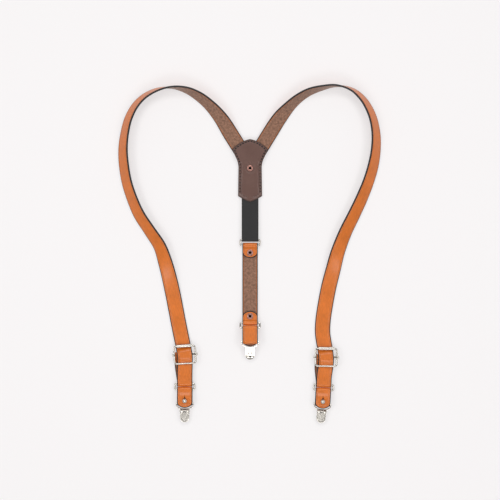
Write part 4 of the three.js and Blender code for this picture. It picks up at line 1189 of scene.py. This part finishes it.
def patch_mesh(name, low_at, high_at, upper, under):
    """A patch of the yoke between two height functions of x, y and inset from the edge."""
    outline = yoke_outline(0)
    rows = PATCH_SECTION
    rings = np.array([yoke_outline(inset) for inset, _, _, _ in rows])
    count = len(outline)
    inset = np.repeat([row[0] for row in rows], count)
    share = np.repeat([row[1] for row in rows], count).astype(float)
    added = np.repeat([row[2] for row in rows], count)
    flat = rings.reshape(-1, 2)
    faces, zones = [], []
    swap = {GRAIN: upper, FLESH: under, EDGE: EDGE}
    for k in range(len(rows) - 1):
        for i in range(count):
            j = (i + 1) % count
            faces.append((k * count + i, k * count + j, (k + 1) * count + j, (k + 1) * count + i))
            zones.append(swap[rows[k][3]])
    inner = rings[-1]
    xs, ys = np.meshgrid(np.arange(-26, 26.1, 0.9), np.arange(80, 170, 0.9))
    inside = np.column_stack([xs.ravel(), ys.ravel()])
    away = edge_distance(inside, inner)
    inside = inside[away > 0.45]
    seeds = [Vector(p) for p in np.vstack([inner, inside])]
    found = delaunay_2d_cdt(seeds, [], [list(range(count))], 1, 1e-5)
    places = np.array([list(v) for v in found[0]])
    size = len(places)
    filled_inset = edge_distance(places, outline)
    for level, zone in ((1.0, upper), (-1.0, under)):
        base = len(flat)
        flat = np.vstack([flat, places])
        inset = np.concatenate([inset, np.maximum(filled_inset, 4.4)])
        share = np.concatenate([share, np.full(size, level)])
        added = np.concatenate([added, np.full(size, 0.04 if level > 0 else 0.0)])
        for face in found[2]:
            faces.append(tuple(base + v for v in face))
            zones.append(zone)
    x, y = flat[:, 0], flat[:, 1]
    low, high = low_at(x, y, inset), high_at(x, y, inset)
    z = low * (1 - share) / 2 + high * (1 + share) / 2 + added
    points = moved(layout_axes(BACK["x"]), np.column_stack([x, y, z]))
    mesh = write_mesh(name, points, faces, zones, np.column_stack([x, y, z]), inset)
    return finish_mesh(mesh, merge=0.004)


def patch_top(x, y, inset, margin):
    """Height of the inner patch's upper face: lifted by what it covers, pulled in by the seam."""
    floor = SEWN + YOKE["sheet"]
    lifted = sheltered(x, y)
    uncovered = np.maximum(ease(inset, 2.6, 5.6), ease(y, *STRAPS_FROM))
    share = lifted * np.maximum(uncovered, 1 - ease(y, YOKE["hip"] - 6, YOKE["hip"] + 6))
    seam = -0.3 * np.exp(-((inset - margin) / 0.7) ** 2) * ease(y, YOKE["hip"], YOKE["hip"] + 4)
    return floor + 3.2 * share * (0.9 + 0.1 * ease(inset, 1, 8)) + seam


class SUSPENDERS_OT_yoke(bpy.types.Operator):
    """Make the two patches of the yoke that joins the straps, and the stitching round them"""
    bl_idname = "suspenders.yoke"
    bl_label = "Yoke"

    def execute(self, context):
        sewing = context.scene.suspenders_sewing
        margin = sewing.margin / MM
        thread = sewing.thread / MM / 2
        sheet = YOKE["sheet"]
        matrix = layout_axes(BACK["x"])
        hole = drill(0, YOKE["rivet"], RIVET["barrel"] + 0.1, -1, 20, matrix)
        recess = drill(0, YOKE["rivet"], RIVET["flange"], -1, RIVET["under"], matrix)

        def below(x, y, inset):
            return (0.4 * np.exp(-((inset - margin) / 0.8) ** 2)
                * ease(y, YOKE["hip"], YOKE["hip"] + 4))

        outer = patch_mesh("yoke_outer_leather", below, lambda x, y, i: 0 * x + sheet, FLESH, GRAIN)
        outer = finish_mesh(cut(slotted(outer), numbered(hole.copy(), 0), recess))
        add_piece("yoke_outer_leather", outer, leathers(context.scene, edge="patch_edge"), "root",
            "leather_tan", "yoke_outer_patch")

        def top(x, y, inset):
            return patch_top(x, y, inset, margin)

        inner = patch_mesh("yoke_inner_leather", lambda x, y, i: top(x, y, i) - sheet, top, GRAIN,
            FLESH)
        press(inner, moved(matrix, (0, YOKE["rivet"], 0)), 5.5, 0.35)
        inner = finish_mesh(cut(slotted(inner), hole))
        add_piece("yoke_inner_leather", inner, leathers(context.scene, "patch", "patch_edge"),
            "root", "leather_chocolate", "yoke_inner_patch")

        seam = yoke_outline(margin)
        peak = int(np.argmax(seam[:, 1]))
        half = seam[:peak + 1]
        half = half[half[:, 1] > YOKE["hip"] + margin + 0.5]
        seam = np.vstack([half, (half * [-1, 1])[-2::-1]])
        far = np.concatenate([[0], np.cumsum(np.linalg.norm(np.diff(seam, axis=0), axis=1))])
        count = int(far[-1] // (sewing.pitch / MM))
        places = (np.arange(count) + 0.5) * far[-1] / count
        reach = sewing.stitch / MM / 2
        points, faces, sides = [], [], 8
        for upper in (True, False):
            for middle in places:
                base = len(points)
                for share in np.linspace(-1, 1, 9):
                    here = middle + share * reach
                    x, y = np.interp(here, far, seam[:, 0]), np.interp(here, far, seam[:, 1])
                    ahead = np.interp(here + 0.3, far, seam[:, 0]), np.interp(here + 0.3, far,
                        seam[:, 1])
                    way = np.array([ahead[0] - x, ahead[1] - y])
                    way /= max(np.linalg.norm(way), 1e-9)
                    dive = 0.42 * share ** 4
                    at = (float(top(np.array([x]), np.array([y]), np.array([margin]))[0])
                        + 0.5 * thread - dive) if upper else thread + dive
                    wide = thread * max(1 - abs(share) ** 5, 0.12) ** 0.5
                    for j in range(sides):
                        turn = 2 * math.pi * j / sides
                        points.append((x + way[1] * wide * math.cos(turn),
                            y - way[0] * wide * math.cos(turn),
                            at + wide * math.sin(turn)))
                for i in range(8):
                    for j in range(sides):
                        k = (j + 1) % sides
                        a, b = base + i * sides, base + (i + 1) * sides
                        faces.append((a + j, b + j, b + k, a + k))
                faces.append(tuple(base + j for j in range(sides)))
                faces.append(tuple(base + 8 * sides + j for j in reversed(range(sides))))
        mesh = finish_mesh(write_mesh("yoke_stitching", moved(matrix, points), faces), merge=0.0005,
            sharp=70)
        add_piece("yoke_stitching", mesh, [finishes(context.scene)["thread"]], "root",
            "leather_chocolate")
        return {"FINISHED"}


# ------------------------------------------------------------------ metal
class SUSPENDERS_OT_rivets(bpy.types.Operator):
    """Make the hollow copper rivets of the yoke and of the back strap"""
    bl_idname = "suspenders.rivets"
    bl_label = "Hollow Rivets"

    def execute(self, context):
        made = finishes(context.scene)
        top_y = BACK["upper_ring"] - RING["spacing"] / 2 - BACK["upper_rivet"]
        low_y = BACK["lower_ring"] + RING["spacing"] / 2 + BACK["lower_rivet"]
        rows = [
            ("yoke_rivet", "root", YOKE["rivet"], RIVET["under"]),
            ("back_upper_rivet", "back_strap", top_y, RIVET["under"]),
            ("back_lower_rivet", "back_strap", low_y, RIVET["under"] + BACK["lift"]),
        ]
        bore, barrel, flange = RIVET["bore"], RIVET["barrel"], RIVET["flange"]
        for name, body, y, low in rows:
            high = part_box(name)[1][2] / MM - SHIFT[2] - RIVET["rim"] - 0.05
            mouth = bore + 0.6
            middle, reach = (flange + mouth) / 2, (flange - mouth) / 2
            rim = [(middle + reach * math.cos(t), high + RIVET["rim"] * math.sin(t) ** 0.8)
                for t in np.linspace(0, math.pi * 0.92, 14)]
            foot = low - RIVET["under"]
            shell = [(0, foot), (flange * 0.8, foot), (flange * 0.85, foot + 0.08),
                (flange * 0.85, low), (barrel, low), (barrel, high), (flange - 0.1, high), *rim,
                (mouth, high - 0.1)]
            matrix = layout_axes(BACK["x"])
            matrix[:3, 3] += [0, y, 0]
            outside = numbered(lathe_mesh("shell", shell, matrix, 48), 0)
            # The bore's wall and floor take the near-black bore colour, as painted shade deep
            # inside the rivet.
            inside = numbered(lathe_mesh("inside", [(mouth, high + 0.05), (bore, high - 0.8),
                (bore * 0.96, low), (0, low)], matrix, 48), 1)
            mesh = joined(f"{name}_turned", outside, inside)
            mesh.shade_smooth()
            mesh.set_sharp_from_angle(angle=math.radians(40))
            add_piece(mesh.name, mesh, [made["copper"], made["bore"]], body, "copper_plated_steel",
                name)
        for side in FRONTS:
            refinish(f"{side}_strap_end_rivet", made["copper"])
        return {"FINISHED"}


def add_metal(mesh, finish, body, *nodes):
    """Puts a mesh of plated steel in the scene under its own name."""
    add_piece(mesh.name, mesh, [finish], body, "nickel_plated_steel", *nodes)


def refinish(name, material):
    """Gives a node of the frame that keeps its shape a finished material."""
    mesh = frame["nodes"][name].data
    mesh.materials.clear()
    mesh.materials.append(material)


class SUSPENDERS_OT_rings(bpy.types.Operator):
    """Make the four rectangular wire rings"""
    bl_idname = "suspenders.rings"
    bl_label = "Wire Rings"

    def execute(self, context):
        joints = {
            "left_ring": ("left_ring_swing", "left_tab_swing"),
            "right_ring": ("right_ring_swing", "right_tab_swing"),
            "back_upper_ring": ("back_upper_ring_swing", "back_strap_swing"),
            "back_lower_ring": ("back_lower_ring_swing", "back_tab_swing"),
        }
        for name, pair in joints.items():
            mesh = loop_mesh(f"{name}_wire", RING["width"], RING["spacing"], RING["corner"],
                RING["wire"], ring_axes(*pair))
            add_metal(mesh, finishes(context.scene)["nickel"], name, name)
        return {"FINISHED"}


class SUSPENDERS_OT_adjusters(bpy.types.Operator):
    """Make the two slide adjusters, each of a wire frame, a roller and a hooked centre bar"""
    bl_idname = "suspenders.adjusters"
    bl_label = "Adjusters"

    def execute(self, context):
        made = finishes(context.scene)
        for side in FRONTS:
            matrix = buckle_axes(side)
            body = f"{side}_adjuster"
            raised = set_off(matrix, 0, 0, FRAME["z"])
            mesh = loop_mesh(f"{side}_adjuster_wire", FRAME["width"], FRAME["length"],
                FRAME["corner"], FRAME["wire"], raised)
            add_metal(mesh, made["nickel"], body, f"{side}_adjuster_frame")

            thick, low = BAR["thickness"], BAR["height"]
            high = FRAME["z"] + FRAME["wire"] + GAP + thick / 2
            outer, turn = BAR["outer"] - thick / 2, 1.1
            right = [
                (0, low), (6, low), (12, low), *arc(outer - turn, low + turn, turn, -90, 0, 6),
                *arc(outer - turn, high - turn, turn, 0, 90, 6), (BAR["outer"] - BAR["lip"], high),
            ]
            profile = [(-x, z) for x, z in right[::-1]] + right[1:]
            places = moved(matrix, [(x, 0, z) for x, z in profile])
            line = Line(places, np.tile(matrix[:3, 1], (len(places), 1)), np.full(len(places),
                thick))
            mesh = strip_mesh(f"{side}_adjuster_centre_bar", line, BAR["width"], SHEET_SECTION,
                lanes=2, crown=0.0)
            add_metal(mesh, made["satin"], body, f"{side}_adjuster_bar")

            half, radius, bore = ROLLER["length"] / 2, ROLLER["radius"], ROLLER["bore"]
            profile = rounded([(bore, half), (radius, half), (radius, 0), (radius, -half),
                (bore, -half), (bore, half)], 0.45)
            spun = raised.copy()
            spun[:3, 0], spun[:3, 1], spun[:3, 2] = raised[:3, 1], raised[:3, 2], raised[:3, 0]
            spun[:3, 3] = joint_at(f"{side}_roller_spin")
            mesh = lathe_mesh(f"{side}_roller_tube", profile, spun, 40)
            add_metal(mesh, made["nickel"], f"{side}_roller", f"{side}_adjuster_roller")
        return {"FINISHED"}


class SUSPENDERS_OT_studs(bpy.types.Operator):
    """Make the three ball studs that the tabs button over"""
    bl_idname = "suspenders.studs"
    bl_label = "Ball Studs"

    def execute(self, context):
        made = finishes(context.scene)
        thick = context.scene.suspenders_leather.tab / MM
        ball, neck, base = STUD["ball"], STUD["neck"], STUD["base"]
        top = STUD["base_height"] + GAP + thick
        centre = top + math.sqrt(ball ** 2 - neck ** 2)
        start = math.degrees(math.asin(neck / ball))
        round_ball = [(ball * math.sin(math.radians(180 - t)),
            centre + ball * math.cos(math.radians(180 - t))) for t in np.linspace(start, 179.9, 18)]
        for side in CLIPS:
            matrix = tab_axes(side)
            inner = TAB["bail_z"] + TAB["room"] + thick
            profile = rounded([(0.5, 0.1), (base, 0.1), (base, STUD["base_height"]),
                (neck, STUD["base_height"]), (neck, top)], 0.3) + round_ball[1:]
            mesh = lathe_mesh(f"{side}_ball_stud", [(0, 0.1), *profile, (0, centre + ball)],
                set_off(matrix, 0, -TAB["stud"], inner + 0.05), 40)
            add_metal(mesh, made["nickel"], f"{side}_tab", f"{side}_stud")
            refinish(f"{side}_stud_screw", made["satin"])
        return {"FINISHED"}


def clip_outline(half, top, end, steps=24):
    return [(half, top), (-half, top), *arc(0, end + half, half, 180, 360, steps)]


def round_corners(points, radius):
    """A closed outline whose corners are rounded."""
    return rounded([points[-1], *points, points[0]], radius, 4)[1:-1]


LEVER_SECTION = SHEET_SECTION[:6] + [(0.3, 1, 0, 0), (0.95, 1, 0, 0), (1.2, 1, -0.13, 0),
    (2.2, 1, -0.14, 0)]
LEVER_SECTION[0] = (2.2, -1, 0, 0)


class SUSPENDERS_OT_clips(bpy.types.Operator):
    """Make the three clips: base plate with its bail and toothed rim, lever and pin"""
    bl_idname = "suspenders.clips"
    bl_label = "Clips"

    def execute(self, context):
        made = finishes(context.scene)
        face, width, end = CLIP["face"], CLIP["width"], -CLIP["length"]
        half, outer = width / 2, CLIP["bail"] / 2
        shoulder, top = CLIP["shoulder"], CLIP["top"]
        back = -face - 0.1
        pin_y, pin_z, ear = -PIN["below"], PIN["height"], 2.3
        for side in CLIPS:
            matrix = clip_axes(side)
            edge_on = set_off(matrix, 0, 0, 0, ACROSS)
            foot = half - 0.4
            bail = round_corners([(-outer, 1), (-outer, -shoulder), (-foot, -top - 1.2),
                (foot, -top - 1.2), (outer, -shoulder), (outer, 1)], 1.0)
            inner = outer - 1.2
            gap = round_corners([(-inner, -1), (inner, -1), (inner, -shoulder),
                (half - 1.2, -top + 1.2), (1.2 - half, -top + 1.2), (-inner, -shoulder)], 0.7)
            peg = arc(0, CLIP["peg"], 1.35, 0, 345, 23)
            parts = [
                plate_mesh("bail", [bail, gap], -face, face, 0.45, matrix),
                plate_mesh("base", [clip_outline(half, -top, end), peg], back, face, 0.22, matrix),
            ]
            for x in (-half, half - 1):
                outline = [(pin_y + ear, back + 0.1), *arc(pin_y, pin_z, ear, 0, 180, 14),
                    (pin_y - ear, back + 0.1)]
                parts.append(plate_mesh("ear", [outline], x, x + 1, 0.2, edge_on))
            rim_top, centre, wall = half - CLIP["length"] + 0.6, end + half, 1.2
            outline = [(half, rim_top), *arc(0, centre, half, 0, -180, 40), (-half, rim_top),
                (wall - half, rim_top), *arc(0, centre, half - wall, -180, 0, 40),
                (half - wall, rim_top)]
            rim = plate_mesh("rim", [outline], 0, face + 2, 0.15, matrix)
            notches = []
            for turn in np.radians(np.linspace(-58, 58, 5)):
                c, s = math.cos(turn), math.sin(turn)
                spun = set_off(matrix, 0, centre, 0, [[c, -s, 0], [s, c, 0], [0, 0, 1]])
                notches.append(block_mesh("notch", (-0.6, -half - 1, face + 1.2), (0.6, 0, 9),
                    spun))
            parts.append(finish_mesh(cut(rim, *notches), sharp=35))
            for x in (-RIB["x"], RIB["x"]):
                long, radius = RIB["half"], RIB["radius"]
                profile = [(radius * math.sin(t), -long - radius * math.cos(t)) for t in QUARTER]
                profile += [(r, -z) for r, z in profile[::-1]]
                rib = set_off(matrix, x, RIB["y"], back + RIB["sunk"], ALONG)
                parts.append(lathe_mesh("rib", profile, rib, 24))
            mesh = joined(f"{side}_clip_base", *parts)
            mesh.shade_smooth()
            mesh.set_sharp_from_angle(angle=math.radians(40))
            add_metal(mesh, made["satin"], f"{side}_clip", f"{side}_clip_body")

            inside, wide = half - 1.3, half - 0.2
            rows = [*bend(pin_y, pin_z, 1.5, -120, 90, 1.0, 12),
                *[(y, 5.0, 1.0) for y in np.linspace(pin_y - 1.2, end + 0.2, 12)]]
            line = side_line(rows, matrix, grain=1, step=0.4)
            curl = 1.5 * math.radians(210) + ear + 0.4
            mesh = strip_mesh(f"{side}_clip_lever_plate", line,
                lambda far: inside + (wide - inside) * float(ease(far, curl, curl + 0.5)),
                LEVER_SECTION, (0, wide), 6, 0.0)
            room = set_off(matrix, 0, pin_y, pin_z, ACROSS)
            cutter = lathe_mesh("room", [(0, -3.3), (2.3, -3.3), (2.3, 3.3), (0, 3.3)], room, 32)
            mesh = finish_mesh(cut(mesh, cutter))
            mesh.name = f"{side}_clip_lever_plate"
            add_metal(mesh, made["satin"], f"{side}_lever", f"{side}_clip_lever")

            long = PIN["length"] / 2
            flat = long - PIN["dome"]
            head = [(PIN["head"] * math.sin(t), flat + PIN["dome"] * math.cos(t)) for t in QUARTER]
            profile = [*head, (PIN["radius"], long - 0.6), (PIN["radius"], 0.6 - long),
                *[(r, -z) for r, z in head[::-1]]]
            mesh = lathe_mesh(f"{side}_clip_hinge_pin", profile, room, 28)
            add_metal(mesh, made["nickel"], f"{side}_clip", f"{side}_clip_pin")
            refinish(f"{side}_clip_jaw", made["satin"])
            refinish(f"{side}_clip_pad", made["pad"])
        return {"FINISHED"}


# ------------------------------------------------------------------ the stage
FLOOR_REACH, LAMP_DISTANCE, LAMP_SIZE = 6.0, 1.7, (1.2, 0.42)


def floor_paper(colour_value):
    """Matt translucent paper on a light table. The eye gets an even near-white: part of its light
    comes through it, which softens what shadow the piece casts."""
    material, tree, shader = start_material("matt_white_paper")
    place = node(tree, "TexCoord").outputs["Object"]
    fibre = node(tree, "TexNoise", {"Vector": place, "Scale": 300.0, "Detail": 2.0})
    tone = node(tree, "Mix", {"Factor": fibre, "A": rgba(colour_value, 0.435),
        "B": rgba(colour_value, 0.445)}, data_type="RGBA")
    feed(tree, shader, {"Base Color": tone, "Roughness": 0.95, "Specular IOR Level": 0.1,
        "Emission Color": rgba(colour_value), "Emission Strength": 0.54})
    return material


class SUSPENDERS_OT_stage(bpy.types.Operator):
    """Make the pale floor, the soft light and the camera that looks straight down"""
    bl_idname = "suspenders.stage"
    bl_label = "Stage"

    def execute(self, context):
        settings = context.scene.suspenders_stage
        low = min(CAD_BOX[0][2], 0.0) - 0.00005
        reach = FLOOR_REACH
        mesh = bpy.data.meshes.new("floor")
        mesh.from_pydata([(-reach, -reach, low), (reach, -reach, low), (reach, reach, low),
            (-reach, reach, low)], [], [(0, 1, 2, 3)])
        mesh.materials.append(floor_paper(settings.floor))
        floor = in_scene("floor", mesh)

        world = bpy.data.worlds.new("studio")
        world.use_nodes = True
        context.scene.world = world
        shade_from = world.node_tree.nodes["Background"]
        shade_from.inputs["Color"].default_value = (1.0, 0.99, 0.985, 1)
        shade_from.inputs["Strength"].default_value = settings.soft

        for name, turn, share in (("north", 90, 1.0), ("south", 270, 0.8), ("east", 0, 0.8),
                ("west", 180, 0.9)):
            light = bpy.data.lights.new(f"softbox_{name}", "AREA")
            light.shape = "RECTANGLE"
            light.size, light.size_y = LAMP_SIZE
            light.energy = settings.lamps * share
            light.color = (1.0, 0.985, 0.965)
            lamp = in_scene(light.name, light)
            way = Vector((math.cos(math.radians(turn)), math.sin(math.radians(turn)),
                1.4)).normalized()
            lamp.location = way * LAMP_DISTANCE
            lamp.rotation_euler = way.to_track_quat("Z", "Y").to_euler()

        context.scene.view_settings.view_transform = "Standard"
        camera = bpy.data.cameras.new("overhead")
        camera.sensor_width = 36.0
        camera.lens = camera.sensor_width * settings.height / settings.view
        camera.clip_end = 50.0
        holder = in_scene("overhead", camera)
        holder.location = (0.0006, 0.0058, settings.height)
        context.scene.camera = holder
        return {"FINISHED"}


# ------------------------------------------------------------------ the panel
STEPS = ("shoulder_straps", "elastic", "back_strap", "tabs", "yoke", "rivets", "rings", "adjusters",
    "studs", "clips", "stage")


class SUSPENDERS_PT_panel(bpy.types.Panel):
    """The suspenders' pieces and settings"""
    bl_idname = "SUSPENDERS_PT_panel"
    bl_label = "Suspenders"
    bl_space_type = "VIEW_3D"
    bl_region_type = "UI"
    bl_category = "Suspenders"

    def draw(self, context):
        for name, group in GROUPS.items():
            box = self.layout.box()
            box.label(text=name.removeprefix("suspenders_").capitalize())
            for setting in group.__annotations__:
                box.prop(getattr(context.scene, name), setting)
        for step in STEPS:
            self.layout.operator(f"suspenders.{step}")


GROUPS = {
    "suspenders_leather": SUSPENDERS_PG_leather,
    "suspenders_webbing": SUSPENDERS_PG_webbing,
    "suspenders_hardware": SUSPENDERS_PG_hardware,
    "suspenders_sewing": SUSPENDERS_PG_sewing,
    "suspenders_stage": SUSPENDERS_PG_stage,
}
CLASSES = (
    *GROUPS.values(), SUSPENDERS_OT_shoulder_straps, SUSPENDERS_OT_elastic,
    SUSPENDERS_OT_back_strap, SUSPENDERS_OT_tabs, SUSPENDERS_OT_yoke, SUSPENDERS_OT_rivets,
    SUSPENDERS_OT_rings, SUSPENDERS_OT_adjusters, SUSPENDERS_OT_studs, SUSPENDERS_OT_clips,
    SUSPENDERS_OT_stage, SUSPENDERS_PT_panel,
)


def register():
    for item in CLASSES:
        bpy.utils.register_class(item)
    for name, group in GROUPS.items():
        setattr(bpy.types.Scene, name, PointerProperty(type=group))


def unregister():
    for name in GROUPS:
        delattr(bpy.types.Scene, name)
    for item in reversed(CLASSES):
        bpy.utils.unregister_class(item)


def main():
    register()
    for step in STEPS:
        getattr(bpy.ops.suspenders, step)()


if __name__ == "__main__":
    main()
